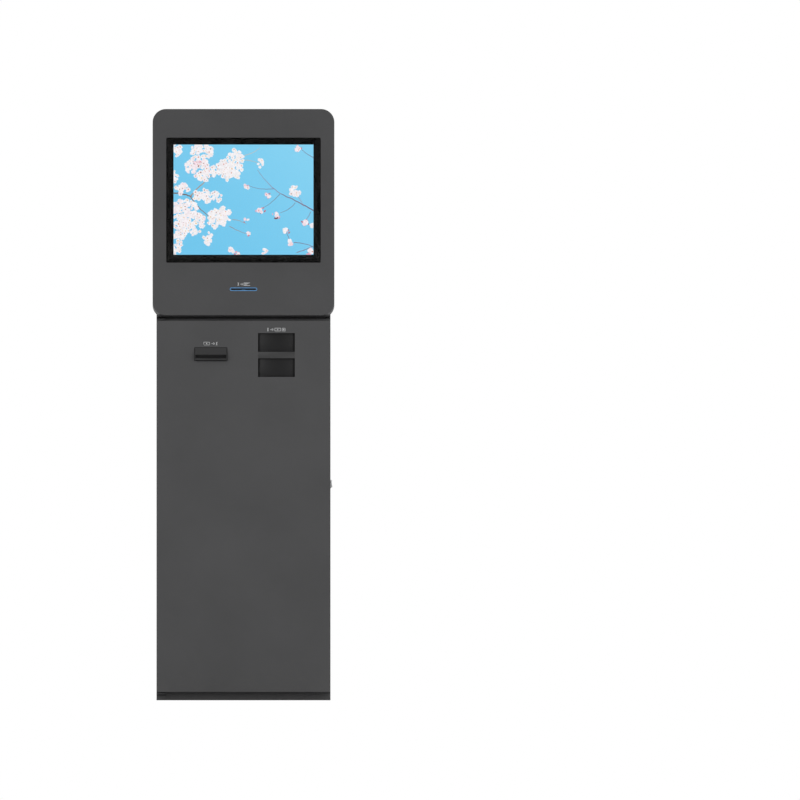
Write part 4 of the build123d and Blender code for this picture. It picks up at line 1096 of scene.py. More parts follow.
    def build(self) -> None:
        """Makes the sky, the twigs and the blossom."""
        finish = Lit("lit_picture", attribute="tint", strength=1.0).material()
        set_down(self._sky_piece(), finish, Body.HEAD)
        bark, mauve = srgb(176, 140, 112), srgb(126, 84, 112)
        self.mesh = bmesh.new()
        for start, end, wide, thin, bow, tint in (
                ((0.0, 0.56), (0.13, 0.53), 3.4, 3.0, 0.03, srgb(120, 92, 84)),
                ((0.12, 0.53), (0.29, 0.74), 2.8, 1.6, 0.02, bark),
                ((0.12, 0.53), (0.27, 0.33), 2.6, 1.6, -0.05, srgb(140, 104, 88)),
                ((0.42, 0.32), (0.52, 0.28), 1.5, 0.8, 0.06, bark),
                ((0.40, 0.26), (0.53, 0.19), 1.6, 0.8, -0.04, srgb(160, 120, 104)),
                ((0.50, 0.90), (0.62, 0.97), 1.3, 0.7, -0.06, srgb(214, 186, 160)),
                ((0.50, 0.86), (0.61, 0.83), 1.2, 0.8, 0.05, srgb(206, 176, 150)),
                ((1.0, 0.40), (0.77, 0.55), 2.8, 1.8, -0.02, mauve),
                ((0.77, 0.55), (0.60, 0.77), 1.8, 0.7, 0.05, srgb(150, 110, 140)),
                ((0.72, 0.60), (0.53, 0.63), 1.4, 0.8, 0.07, mauve),
                ((0.76, 0.55), (0.63, 0.42), 1.3, 0.8, 0.05, mauve),
                ((0.87, 0.47), (0.76, 0.38), 1.3, 0.8, 0.08, mauve),
                ((0.93, 0.44), (0.88, 0.54), 1.2, 0.7, -0.05, srgb(170, 120, 140)),
                ((0.98, 0.39), (0.94, 0.31), 1.2, 0.8, 0.05, mauve),
                ((1.0, 0.88), (0.90, 0.97), 1.4, 0.8, 0.03, mauve),
                ((0.86, 0.11), (1.0, 0.07), 1.6, 1.2, 0.06, mauve),
                ((0.85, 0.10), (0.80, 0.22), 1.5, 0.9, 0.03, mauve),
                ((0.88, 0.02), (1.0, 0.08), 1.6, 1.2, -0.02, srgb(140, 70, 96)),
        ):
            self._twig(start, end, wide * MM, thin * MM, bow, tint)
        for u, v, ru, rv, count, blush in (
                (0.02, 0.95, 0.035, 0.06, 12, 0.1), (0.20, 0.94, 0.08, 0.07, 34, 0.1),
                (0.17, 0.80, 0.08, 0.09, 40, 0.35), (0.22, 0.73, 0.05, 0.06, 22, 0.2),
                (0.36, 0.79, 0.055, 0.10, 34, 0.1), (0.44, 0.84, 0.06, 0.12, 46, 0.05),
                (0.29, 0.76, 0.03, 0.04, 8, 0.1), (0.01, 0.72, 0.02, 0.06, 6, 0.1),
                (0.06, 0.60, 0.05, 0.05, 16, 0.3), (0.21, 0.53, 0.07, 0.06, 26, 0.1),
                (0.31, 0.53, 0.035, 0.05, 9, 0.1), (0.08, 0.42, 0.09, 0.08, 42, 0.25),
                (0.13, 0.28, 0.09, 0.11, 62, 0.15), (0.31, 0.33, 0.07, 0.09, 44, 0.1),
                (0.02, 0.10, 0.035, 0.12, 22, 0.1), (0.25, 0.15, 0.035, 0.05, 8, 0.2),
                (0.62, 0.83, 0.02, 0.035, 5, 0.1), (0.87, 0.58, 0.035, 0.05, 12, 0.2),
                (0.41, 0.03, 0.02, 0.03, 4, 0.3), (0.65, 0.03, 0.02, 0.03, 4, 0.4),
                (0.245, 0.135, 0.03, 0.055, 8, 0.15), (0.05, 0.30, 0.05, 0.16, 34, 0.15),
                (0.36, 0.36, 0.05, 0.07, 18, 0.1), (0.41, 0.75, 0.06, 0.09, 26, 0.1),
                (0.99, 0.24, 0.01, 0.04, 3, 0.2),
        ):
            self._cluster(u, v, ru, rv, count, blush)
        for u, v, buds in (
                (0.52, 0.62, 4), (0.52, 0.31, 2), (0.53, 0.19, 2), (0.62, 0.40, 8), (0.68, 0.54, 4),
                (0.74, 0.36, 6), (0.94, 0.29, 9), (0.89, 0.96, 10), (0.80, 0.22, 7), (0.83, 0.11, 6),
                (0.98, 0.03, 7), (0.45, 0.01, 4), (0.17, 0.82, 12), (0.09, 0.40, 8), (0.21, 0.33, 6),
        ):
            self._spray(u, v, buds, 0.7)
        set_down(self._blossom_piece(), finish, Body.HEAD)
        bpy.data.meshes.remove(self.petal)
        bpy.data.meshes.remove(self.dot)


# ---------------------------------------------------------------- printed marks
@dataclass
class PrintedMarks:
    """White picture marks beside the slots: notes, arrows and a slip of paper, with no lettering."""

    head: HeadFrame
    thickness: float = 0.12 * MM
    line: float = 1.1 * MM
    note_width: float = 17.0 * MM
    note_height: float = 8.6 * MM
    arrow_length: float = 9.0 * MM
    slip_height: float = 8.0 * MM
    slip_rise: float = 84.7 * MM

    def _bar(self, shape: Shape, place: Matrix, x: float, y: float, width: float, height: float) -> None:
        """Adds a bar with softened corners.

        Args:
            shape: the shape that it goes into.
            place: the mark's place.
            x: its middle, across.
            y: its middle, up.
            width: its width.
            height: its height.
        """
        shape.slab(width, height, self.line / 3, self.thickness, place @ Matrix.Translation((x, y, 0)), 2)

    def _frame(self, shape: Shape, place: Matrix, x: float, width: float, height: float) -> None:
        """Adds a hollow note outline with a disc in its middle.

        Args:
            shape: the shape that it goes into.
            place: the mark's place.
            x: the note's middle.
            width: its width.
            height: its height.
        """
        for side in (-1, 1):
            self._bar(shape, place, x + side * (width - self.line) / 2, 0, self.line, height)
            self._bar(shape, place, x, side * (height - self.line) / 2, width, self.line)
        shape.slab(height * 0.36, height * 0.36, height * 0.18, self.thickness,
                   place @ Matrix.Translation((x, 0, 0)), 6)

    def _arrow(self, shape: Shape, place: Matrix, x: float, size: float, way: int) -> None:
        """Adds an arrow.

        Args:
            shape: the shape that it goes into.
            place: the mark's place.
            x: its middle.
            size: its length.
            way: 1 to point right, -1 to point left.
        """
        self._bar(shape, place, x - way * size * 0.15, 0, size * 0.6, self.line)
        for side in (-1, 1):
            tip = place @ Matrix.Translation((x + way * size * 0.28, side * size * 0.17, 0))
            barb = tip @ Matrix.Rotation(-way * side * math.radians(45), 4, "Z")
            self._bar(shape, barb, 0, 0, size * 0.5, self.line)

    def _slot(self, shape: Shape, place: Matrix, x: float, height: float) -> None:
        """Adds an upright slot mark: a bar between two short feet.

        Args:
            shape: the shape that it goes into.
            place: the mark's place.
            x: its middle.
            height: its height.
        """
        shape.slab(self.line * 1.6, height, self.line / 2, self.thickness,
                   place @ Matrix.Translation((x, 0, 0)), 2)
        for side in (-1, 1):
            self._bar(shape, place, x, side * (height - self.line) / 2, self.line * 4, self.line)

    def build(self) -> None:
        """Makes the three marks."""
        finish = Plastic("white_print", (0.72, 0.73, 0.74), 0.5, 1800.0, 0.00001).material()
        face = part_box("door_panel")[0].y
        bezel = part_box("cash_in_bezel")
        into = Shape()
        place = facing(((bezel[0].x + bezel[1].x) / 2, face, bezel[1].z + 10.0 * MM), (0, -1, 0))
        self._frame(into, place, -11.0 * MM, self.note_width, self.note_height)
        self._arrow(into, place, 6.0 * MM, self.arrow_length, 1)
        self._slot(into, place, 16.0 * MM, self.note_height)
        set_down(into.finish("cash_in_mark"), finish, Body.DOOR)
        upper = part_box("cash_out_flap_upper")
        out = Shape()
        place = facing(((upper[0].x + upper[1].x) / 2 - 0.9 * MM, face, upper[1].z + 3.6 * MM), (0, -1, 0))
        self._slot(out, place, -22.0 * MM, self.note_height)
        self._arrow(out, place, -11.5 * MM, self.arrow_length, 1)
        self._frame(out, place, 4.5 * MM, self.note_width, self.note_height)
        self._frame(out, place, 20.5 * MM, 9.0 * MM, self.note_height)
        set_down(out.finish("cash_out_mark"), finish, Body.DOOR)
        slip = Shape()
        place = self.head.face(0.0, self.slip_rise)
        self._slot(slip, place, -14.0 * MM, self.slip_height)
        self._arrow(slip, place, -5.5 * MM, self.slip_height, 1)
        for side in (-1, 1):
            self._bar(slip, place, 9.0 * MM, side * 3.5 * MM, self.note_width, self.line)
        for number in range(3):
            spot = Matrix.Translation((8.0 * MM - number * 1.2 * MM, (1 - number) * 1.9 * MM, 0))
            slip.slab(11.0 * MM - number * 2.4 * MM, self.line * 0.75, self.line / 4, self.thickness,
                      place @ spot, 2)
        self._bar(slip, place, 0.9 * MM, 0, self.line, self.slip_height)
        set_down(slip.finish("receipt_mark"), finish, Body.HEAD)


# ---------------------------------------------------------------- slots
@dataclass
class CashInBezel:
    """Wedge-shaped moulding around the cash-in slot, with a flange, a visor and a grip strip."""

    flange: float = 1.7 * MM
    flange_proud: float = 0.9 * MM
    mouth_width: float = 83.0 * MM
    slot_height: float = 5.0 * MM
    slot_drop: float = 4.0 * MM
    nose_foot: float = -10.9 * MM
    strip_foot: float = -15.7 * MM
    neck: float = 6.0 * MM
    round: float = 0.5 * MM
    fine_round: float = 0.3 * MM
    shoulder: float = 3.5 * MM
    step: float = 1.2 * MM
    brow_proud: float = 1.6 * MM
    brow_drop: float = 1.9 * MM
    visor_proud: float = 2.4 * MM
    visor_drop: float = 5.0 * MM
    chin_start: float = 9.5 * MM
    chin_end: float = 7.5 * MM
    foot_step: float = 3.0 * MM
    chin_drop: float = 6.6 * MM
    foot_rise: float = 1.4 * MM
    lip_step: float = 2.2 * MM
    lip_bevel: float = 1.0 * MM
    lip_rise: float = 0.3 * MM
    guides: int = 6
    guide_width: float = 1.4 * MM

    def _wedge(self, shape: Shape, outline: Sequence[tuple[float, float]], low: float, high: float,
               middle: float, face: float) -> None:
        """Adds a length of moulding with one outline.

        Args:
            shape: the shape that it goes into.
            outline: (out of the door, up) of each corner.
            low: x where it starts.
            high: x where it ends.
            middle: z of the bezel's middle.
            face: y of the door's face.
        """
        verts = [shape.mesh.verts.new((low, face - out, middle + up)) for out, up in outline]
        side = shape.mesh.faces.new(verts)
        raised = bmesh.ops.extrude_face_region(shape.mesh, geom=[side], use_keep_orig=True)["geom"]
        ends = [item for item in raised if isinstance(item, bmesh.types.BMVert)]
        bmesh.ops.translate(shape.mesh, vec=(high - low, 0, 0), verts=ends)

    def build(self) -> None:
        """Makes the moulding, its rim, its grip strip and the lining of its slot; the rim and the lining are
        darker than the moulding as painted shade.
        """
        low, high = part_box("cash_in_bezel")
        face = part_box("door_panel")[0].y
        middle = (low.z + high.z) / 2
        top = (high.z - low.z) / 2
        proud = face - low.y
        centre = (low.x + high.x) / 2
        x0, x1 = low.x + self.flange, high.x - self.flange
        s0, s1 = centre - self.mouth_width / 2, centre + self.mouth_width / 2
        up, down = self.slot_height / 2 - self.slot_drop, -self.slot_height / 2 - self.slot_drop
        slope = (proud - self.visor_proud) / (2 * top - self.visor_drop - self.chin_start)
        reach_up = self.visor_proud + slope * (top - self.visor_drop - up)
        reach_down = self.visor_proud + slope * (top - self.visor_drop - down)
        foot = proud - self.foot_step
        brow = ((-self.neck, top - self.shoulder), (0.0, top - self.step),
                (self.brow_proud, top - self.brow_drop), (self.visor_proud, top - self.visor_drop))
        upper = (*brow, (reach_up, up), (-self.neck, up))
        strip = ((-self.neck, self.nose_foot), (foot, self.nose_foot), (foot, self.strip_foot),
                 (0.0, self.strip_foot), (-self.neck, self.strip_foot + 0.6 * MM))
        nose = ((-self.neck, down), (reach_down - 1.8 * MM, down), (proud - 0.6 * MM, down - 2.0 * MM),
                (proud, down - 2.8 * MM), (proud, self.nose_foot), (-self.neck, self.nose_foot))
        lip_face = proud - self.lip_step
        lip = ((0.0, self.strip_foot), (lip_face, self.strip_foot), (lip_face, self.step - top),
               (lip_face - self.lip_bevel, self.lip_rise - top), (0.0, self.lip_rise - top))
        cheek = (*brow, (proud, self.chin_start - top), (proud, self.chin_end - top),
                 (foot, self.chin_drop - top), (foot, self.foot_rise - top), (0.0, self.step - top),
                 (-self.neck, self.shoulder - top))
        shape = Shape()
        self._wedge(shape, upper, x0, x1, middle, face)
        self._wedge(shape, cheek, x0, s0, middle, face)
        self._wedge(shape, cheek, s1, x1, middle, face)
        body = Plastic("bezel_charcoal", (0.033, 0.033, 0.034), 0.5).material()
        moulding = shape.finish("cash_in_moulding")
        edges = moulding.modifiers.new("edges", "BEVEL")
        edges.width = self.round
        edges.segments = 3
        edges.limit_method = "ANGLE"
        set_down(moulding, body, Body.DOOR, ["cash_in_bezel"])
        rim = Shape()
        rim.slab(high.x - low.x, high.z - low.z, 1.6 * MM, self.flange_proud,
                 facing((centre, face, middle), (0, -1, 0)), 4)
        # painted shade: the rim is made much darker than the moulding to paint the shadow in the groove
        # around the wedge
        rim_shade_finish = Plastic("bezel_rim_painted_shade", (0.012, 0.012, 0.0125), 0.55, gloss=0.3)
        set_down(rim.finish("cash_in_rim"), rim_shade_finish.material(), Body.DOOR)
        grip = Shape()
        self._wedge(grip, strip, s0, s1, middle, face)
        grip.soften(self.fine_round)
        grip_finish = Plastic("bezel_strip_grey", (0.020, 0.020, 0.021), 0.5)
        set_down(grip.finish("cash_in_strip"), grip_finish.material(), Body.DOOR)
        lining = Shape()
        self._wedge(lining, nose, s0, s1, middle, face)
        self._wedge(lining, lip, s0, s1, middle, face)
        lining.soften(self.fine_round)
        for number in range(self.guides):
            x = s0 + (number + 0.5) * self.mouth_width / self.guides
            lining.box((x - self.guide_width / 2, face - reach_down + 3.0 * MM, middle + down),
                       (x + self.guide_width / 2, face + self.neck, middle + down + 0.6 * MM))
        # painted shade: the lining inside and below the slot is made near black to paint the shadow in the
        # slot
        dark = Plastic("slot_painted_shade", (0.0045, 0.0045, 0.0048), 0.6, gloss=0.25)
        set_down(lining.finish("cash_in_lining"), dark.material(), Body.DOOR)


@dataclass
class CashOutWindows:
    """The two push-in flaps with their pins and pull lips, and the strip between the windows."""

    lip: float = 3.6 * MM
    lip_depth: float = 0.9 * MM
    round: float = 0.5 * MM
    pin_radius: float = 2.0 * MM
    pin_chamfer: float = 0.4 * MM
    sheet: float = 2.0 * MM
    sheet_side: float = 7.0 * MM
    lip_side: float = 9.0 * MM
    lip_rise: float = 2.2 * MM
    lip_thickness: float = 1.2 * MM
    strip_proud: float = 0.4 * MM
    strip_depth: float = 0.5 * MM
    strip_gap: float = 0.3 * MM

    def build(self) -> None:
        """Makes both flaps and the strip."""
        smoke = Plastic("smoked_sheet", (0.0085, 0.0085, 0.009), 0.36, 400.0, 0.000006, 0.0, 0.3).material()
        for name, body in (("upper", Body.FLAP_UPPER), ("lower", Body.FLAP_LOWER)):
            low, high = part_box(f"cash_out_flap_{name}")
            shape = Shape()
            shape.box((low.x + self.sheet_side, low.y + self.lip_depth, low.z),
                      (high.x - self.sheet_side, low.y + self.sheet, high.z - self.pin_radius))
            lip_foot = low.z + self.lip_rise
            shape.box((low.x + self.lip_side, low.y, lip_foot),
                      (high.x - self.lip_side, low.y + self.lip_thickness, lip_foot + self.lip))
            shape.soften(self.round * 0.6)
            pin = facing((low.x, low.y + self.pin_radius, high.z - self.pin_radius), (1, 0, 0))
            length = high.x - low.x
            slim = self.pin_radius - self.pin_chamfer
            shape.lathe([(0.0, 0.0), (slim, 0.0), (self.pin_radius, self.pin_chamfer),
                         (self.pin_radius, length - self.pin_chamfer), (slim, length), (0.0, length)],
                        pin, 24)
            set_down(shape.finish(f"flap_sheet_{name}"), smoke, body,
                     [f"cash_out_flap_{name}"])
        upper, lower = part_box("cash_out_flap_upper"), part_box("cash_out_flap_lower")
        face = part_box("door_panel")[0].y
        top, bottom = upper[0].z + 2.0 * MM, lower[1].z - 6.0 * MM
        back = face + self.strip_depth - self.strip_proud
        centre = ((upper[0].x + upper[1].x) / 2, back, (top + bottom) / 2)
        strip = Shape()
        strip.slab(upper[1].x - upper[0].x - 2 * self.sheet_side, top - bottom - 2 * self.strip_gap, 0.8 * MM,
                   self.strip_depth, facing(centre, (0, -1, 0)), 3)
        strip.soften(0.2 * MM)
        finish = CoatedSteel("strip_coat", (0.041, 0.041, 0.042), 0.45)
        set_down(strip.finish("cash_out_strip"), finish.material(), Body.DOOR)


@dataclass
class ReceiptSlot:
    """The lit ring around the receipt slot, its dark mouth, the thumb notch and a painted highlight below
    them.
    """

    head: HeadFrame
    rise: float = 71.0 * MM
    width: float = 73.4 * MM
    height: float = 9.0 * MM
    ring: float = 1.6 * MM
    notch: float = 19.0 * MM
    ring_behind: float = 0.45 * MM
    lip_rise: float = 1.95 * MM
    lip_height: float = 2.2 * MM
    lip_depth: float = 2.2 * MM
    lip_behind: float = 3.4 * MM
    lip_gap: float = 0.6 * MM
    notch_rise: float = 1.75 * MM
    notch_height: float = 1.6 * MM
    notch_depth: float = 0.5 * MM
    notch_behind: float = 1.2 * MM
    glint_width: float = 9.0 * MM
    glint_height: float = 0.7 * MM
    glint_drop: float = 1.9 * MM
    glint_depth: float = 0.25 * MM
    glint_behind: float = 0.75 * MM

    def _stadium(self, width: float, height: float, steps: int = 20) -> list[Vector]:
        """Works out a closed outline with round ends.

        Args:
            width: its whole width.
            height: its whole height.
            steps: points of each end.

        Returns:
            The outline's points, in its own plane.
        """
        radius = height / 2
        points = []
        for side in (1, -1):
            for number in range(steps + 1):
                angle = -math.pi / 2 + math.pi * number / steps
                points.append(Vector((side * (width / 2 - radius + radius * math.cos(angle)),
                                      side * radius * math.sin(angle), 0.0)))
        return points

    def _loop(self, name: str, points: Sequence[Vector], radius: float, place: Matrix) -> bpy.types.Object:
        """Makes a closed tube.

        Args:
            name: the piece's name.
            points: its middle line, in the place's plane.
            radius: its radius.
            place: where the plane lies.

        Returns:
            The tube as a mesh.
        """
        curve = bpy.data.curves.new(name, "CURVE")
        curve.dimensions = "3D"
        spline = curve.splines.new("POLY")
        spline.points.add(len(points) - 1)
        for point, knot in zip(points, spline.points):
            knot.co = (*(place @ point), 1.0)
        spline.use_cyclic_u = True
        curve.bevel_depth = radius
        curve.bevel_resolution = 5
        holder = add_object(name, curve)
        bpy.context.view_layer.update()
        graph = bpy.context.evaluated_depsgraph_get()
        data = bpy.data.meshes.new_from_object(holder.evaluated_get(graph))
        bpy.data.objects.remove(holder)
        for polygon in data.polygons:
            polygon.use_smooth = True
        return add_object(name, data)

    def build(self) -> None:
        """Makes the ring, the mouth with its notch, and below it a painted highlight: a glowing strip in
        place of a reflection.
        """
        place = self.head.face(0.0, self.rise, self.ring_behind)
        ring = self._loop("receipt_glow_ring", self._stadium(self.width - self.ring, self.height - self.ring),
                          self.ring / 2, place)
        glow = Lit("blue_glow", srgb(92, 148, 200), 1.0)
        set_down(ring, glow.material(), Body.HEAD, ["receipt_light_ring"])
        mouth = Shape()
        for side in (-1, 1):
            lip = self.head.face(0.0, self.rise + side * self.lip_rise, self.lip_behind)
            mouth.slab(self.width - 2 * (self.ring + self.lip_gap), self.lip_height, 0.8 * MM, self.lip_depth,
                       lip, 4)
            notch = self.head.face(0.0, self.rise + side * self.notch_rise, self.notch_behind)
            mouth.slab(self.notch, self.notch_height, 0.6 * MM, self.notch_depth, notch, 4)
        mouth.soften(0.25 * MM)
        dark = Plastic("receipt_mouth_blue", (0.010, 0.020, 0.032), 0.35, 1200.0, 0.00001, 0.2)
        set_down(mouth.finish("receipt_lips"), dark.material(), Body.HEAD)
        # painted highlight: a thin glowing strip below the notch stands in for a reflection
        light = Shape()
        light.slab(self.glint_width, self.glint_height, 0.3 * MM, self.glint_depth,
                   self.head.face(0.0, self.rise - self.glint_drop, self.glint_behind), 3)
        highlight_finish = Lit("blue_painted_highlight", srgb(120, 170, 214), 0.9)
        set_down(light.finish("receipt_painted_highlight"), highlight_finish.material(), Body.HEAD)


# ---------------------------------------------------------------- the rear
@dataclass
class RearDetails:
    """Pan-head screws and the fan's curved blades."""

    head_radius: float = 4.0 * MM
    head_height: float = 2.2 * MM
    column: int = 6
    hub: float = 15.0 * MM
    blades: int = 7
    blade_thickness: float = 1.1 * MM

    def _screws(self) -> None:
        """Makes the screws where the CAD groups them: two columns of six."""
        low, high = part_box("rear_screws")
        shape = Shape()
        r, h = self.head_radius, self.head_height
        for x in (low.x + r, high.x - r):
            for number in range(self.column):
                z = low.z + r + number * (high.z - low.z - 2 * r) / (self.column - 1)
                place = facing((x, low.y, z), (0, 1, 0))
                shape.lathe([(0.0, -0.3 * MM), (r, -0.3 * MM), (r, h * 0.35), (r * 0.86, h * 0.74),
                             (r * 0.55, h * 0.94), (r * 0.42, h * 0.96), (r * 0.36, h * 0.4), (0.0, h * 0.4)],
                            place, 28)
                for turn in (0, 90):
                    blade = place @ Matrix.Rotation(math.radians(turn + 20 * number), 4, "Z")
                    shape.slab(r * 1.15, r * 0.2, r * 0.08, h * 0.2,
                               blade @ Matrix.Translation((0, 0, h * 0.42)), 2)
        finish = Metal("plated_screw", (0.62, 0.62, 0.63), 0.28)
        set_down(shape.finish("rear_screw_heads"), finish.material(), Body.CABINET,
                 ["rear_screws"])

    def _fan(self) -> None:
        """Makes the fan's hub and twisted blades."""
        low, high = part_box("fan_rotor")
        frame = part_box("fan_frame")
        centre = Vector(((frame[0].x + frame[1].x) / 2, (low.y + high.y) / 2, (frame[0].z + frame[1].z) / 2))
        reach = (high.z - low.z) / 2 - 0.4 * MM
        half = (high.y - low.y) / 2
        shape = Shape()
        hub = self.hub
        axle = facing(centre - Vector((0, half, 0)), (0, 1, 0))
        shape.lathe([(0.0, 0.0), (hub - 1.5 * MM, 0.0), (hub, 1.5 * MM), (hub, 2 * half - 2.0 * MM),
                     (hub - 2.0 * MM, 2 * half - 0.4 * MM), (0.0, 2 * half)], axle, 40)
        for number in range(self.blades):
            made = bmesh.ops.create_grid(shape.mesh, x_segments=8, y_segments=4, size=0.5)["verts"]
            for vert in made:
                share = vert.co.x + 0.5
                chord = (10.5 + 8.0 * share) * MM
                radius = hub - 1.0 * MM + share * (reach - hub + 1.0 * MM)
                pitch = math.radians(56.0 - 26.0 * share)
                across = vert.co.y * chord
                lift = (0.25 - vert.co.y ** 2) * 0.14 * chord
                vert.co = Vector((radius, across * math.cos(pitch) + lift * math.sin(pitch),
                                  half + across * math.sin(pitch) - lift * math.cos(pitch)))
            for vert in made:
                over = math.hypot(vert.co.x, vert.co.y) / reach
                if over > 1.0:
                    vert.co.x, vert.co.y = vert.co.x / over, vert.co.y / over
                vert.co.z = max(0.6 * MM, min(2 * half - 1.2 * MM, vert.co.z))
            faces = list({face for vert in made for face in vert.link_faces})
            walls = bmesh.ops.solidify(shape.mesh, geom=faces, thickness=self.blade_thickness)["geom"]
            verts = {*made, *(item for item in walls if isinstance(item, bmesh.types.BMVert))}
            turn = axle @ Matrix.Rotation(number * math.tau / self.blades, 4, "Z")
            bmesh.ops.transform(shape.mesh, matrix=turn, verts=[vert for vert in verts if vert.is_valid])
        finish = Plastic("fan_black", (0.022, 0.022, 0.023), 0.4)
        set_down(shape.finish("fan_wheel"), finish.material(), Body.FAN, ["fan_rotor"])

    def build(self) -> None:
        """Makes the screws and the fan wheel."""
        self._screws()
        self._fan()


# ---------------------------------------------------------------- paper and lock
@dataclass
class PaperRoll:
    """The wound receipt roll: fine rings on its ends and a soft outer edge."""

    ring: float = 0.9 * MM
    ring_depth: float = 0.12 * MM

    def build(self) -> None:
        """Makes the roll."""
        low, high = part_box("paper_roll")
        radius = (high.z - low.z) / 2
        length = high.x - low.x
        place = facing((low.x, (low.y + high.y) / 2, (low.z + high.z) / 2), (1, 0, 0))
        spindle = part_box("roll_spindle")
        bore = (spindle[1].z - spindle[0].z) / 2 + 0.05 * MM
        rings = int((radius - bore) / self.ring)
        steps = [(bore + number * self.ring, self.ring_depth * (1 + number % 2))
                 for number in range(1, rings)]
        end = [(bore, 0.2 * MM), *steps, (radius - 0.3 * MM, self.ring_depth), (radius, 0.4 * MM)]
        outline = end + [(r, length - up) for r, up in reversed(end)] + [end[0]]
        shape = Shape()
        shape.lathe(outline, place, 72)
        set_down(shape.finish("paper_roll_wound", smooth=25.0), Paper().material(), Body.ROLL,
                 ["paper_roll"])


@dataclass
class DoorLock:
    """The lock's turned rosette, with a rolled rim and a groove."""

    radius: float = 11.0 * MM
    flange: float = 0.8 * MM
    play: float = 0.1 * MM
    flush: float = 0.02 * MM

    def build(self) -> None:
        """Makes the rosette over the CAD lock body."""
        low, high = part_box("door_lock_body")
        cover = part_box("lock_dust_cover")
        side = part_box("door_panel")[1].x
        centre_y, centre_z = (cover[0].y + cover[1].y) / 2, (low.z + high.z) / 2
        radius = self.radius
        height = high.x - side
        bore = (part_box("lock_plug")[1].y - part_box("lock_plug")[0].y) / 2 + self.play
        shape = Shape()
        wide, crest = radius + self.flange, height - self.flush
        shape.lathe([(bore, 0.0), (wide, 0.0), (wide, 0.5 * MM), (radius, 1.2 * MM),
                     (radius - 1.0 * MM, height - 0.3 * MM), (radius - 1.6 * MM, crest),
                     (radius - 2.4 * MM, height - 0.5 * MM), (bore + 0.6 * MM, crest),
                     (bore, height - 0.2 * MM), (bore, 0.0)],
                    facing((side, centre_y, centre_z), (1, 0, 0)), 56)
        finish = Metal("rosette_chrome", (0.70, 0.70, 0.71), 0.16, (1.0, 1.0, 1.0), 300.0)
        set_down(shape.finish("lock_rosette"), finish.material(), Body.DOOR)


# ---------------------------------------------------------------- seams and pulls
@dataclass
class SeamStrips:
    """Rubber lips along the door's and the head's seams, and the rims of the two finger pulls."""

    head: HeadFrame
    sheet: float = 2.0 * MM
    rim: float = 5.0 * MM
    rim_depth: float = 1.5 * MM
    lip_width: float = 4.0 * MM
    lip_depth: float = 1.8 * MM
    head_width: float = 8.0 * MM
    head_depth: float = 1.2 * MM
    head_start: float = 0.2 * MM
    head_low: float = 4.0 * MM
    head_high: float = 542.0 * MM

    def _pull_rims(self) -> Shape:
        """Makes the rim behind each side panel, around its pull.

        Returns:
            The rims.
        """
        shape = Shape()
        for name in ("left", "right"):
            low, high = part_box(f"pull_recess_{name}")
            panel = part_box(f"side_panel_{name}")
            inner = panel[0].x + self.sheet if name == "left" else panel[1].x - self.sheet
            x0, x1 = sorted((inner, inner + (self.rim_depth if name == "left" else -self.rim_depth)))
            y0, y1 = low.y - self.rim, high.y + self.rim
            shape.box((x0, y0, high.z), (x1, y1, high.z + self.rim))
            shape.box((x0, y0, low.z - self.rim), (x1, y1, low.z))
            shape.box((x0, y0, low.z), (x1, low.y, high.z))
            shape.box((x0, high.y, low.z), (x1, y1, high.z))
        return shape

    def _door_lip(self) -> Shape:
        """Makes the lip that stands forward on the door's seal.

        Returns:
            The lip.
        """
        low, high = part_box("door_seal")
        y0, y1 = low.y - self.lip_depth, low.y
        wide = self.lip_width
        shape = Shape()
        shape.box((low.x, y0, low.z), (low.x + wide, y1, high.z))
        shape.box((high.x - wide, y0, low.z), (high.x, y1, high.z))
        shape.box((low.x + wide, y0, low.z), (high.x - wide, y1, low.z + wide))
        shape.box((low.x + wide, y0, high.z - wide), (high.x - wide, y1, high.z))
        return shape

    def _head_seal(self) -> Shape:
        """Makes the strips between the head's back and the sloping frame.

        Returns:
            The strips.
        """
        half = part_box("door_seal")[1].x
        tall = self.head_high - self.head_low
        middle = (self.head_high + self.head_low) / 2
        back = self.head.depth + self.head_start + self.head_depth
        shape = Shape()
        for side in (-1, 1):
            across = side * (half - self.head_width / 2)
            shape.slab(self.head_width, tall, self.head_depth, self.head_depth,
                       self.head.face(across, middle, back), 2)
        for up in (self.head_low + self.head_width / 2, self.head_high - self.head_width / 2):
            shape.slab(2 * (half - self.head_width), self.head_width, self.head_depth, self.head_depth,
                       self.head.face(0.0, up, back), 2)
        return shape

    def build(self) -> None:
        """Makes the rims, the lip and the strips."""
        moulded = Plastic("pull_rim_black", (0.018, 0.018, 0.019), 0.5).material()
        rubber = Rubber("seam_rubber").material()
        set_down(self._pull_rims().finish("pull_rims"), moulded, Body.CABINET)
        set_down(self._door_lip().finish("door_seal_lip"), rubber, Body.CABINET)
        set_down(self._head_seal().finish("head_seal"), rubber, Body.CABINET)


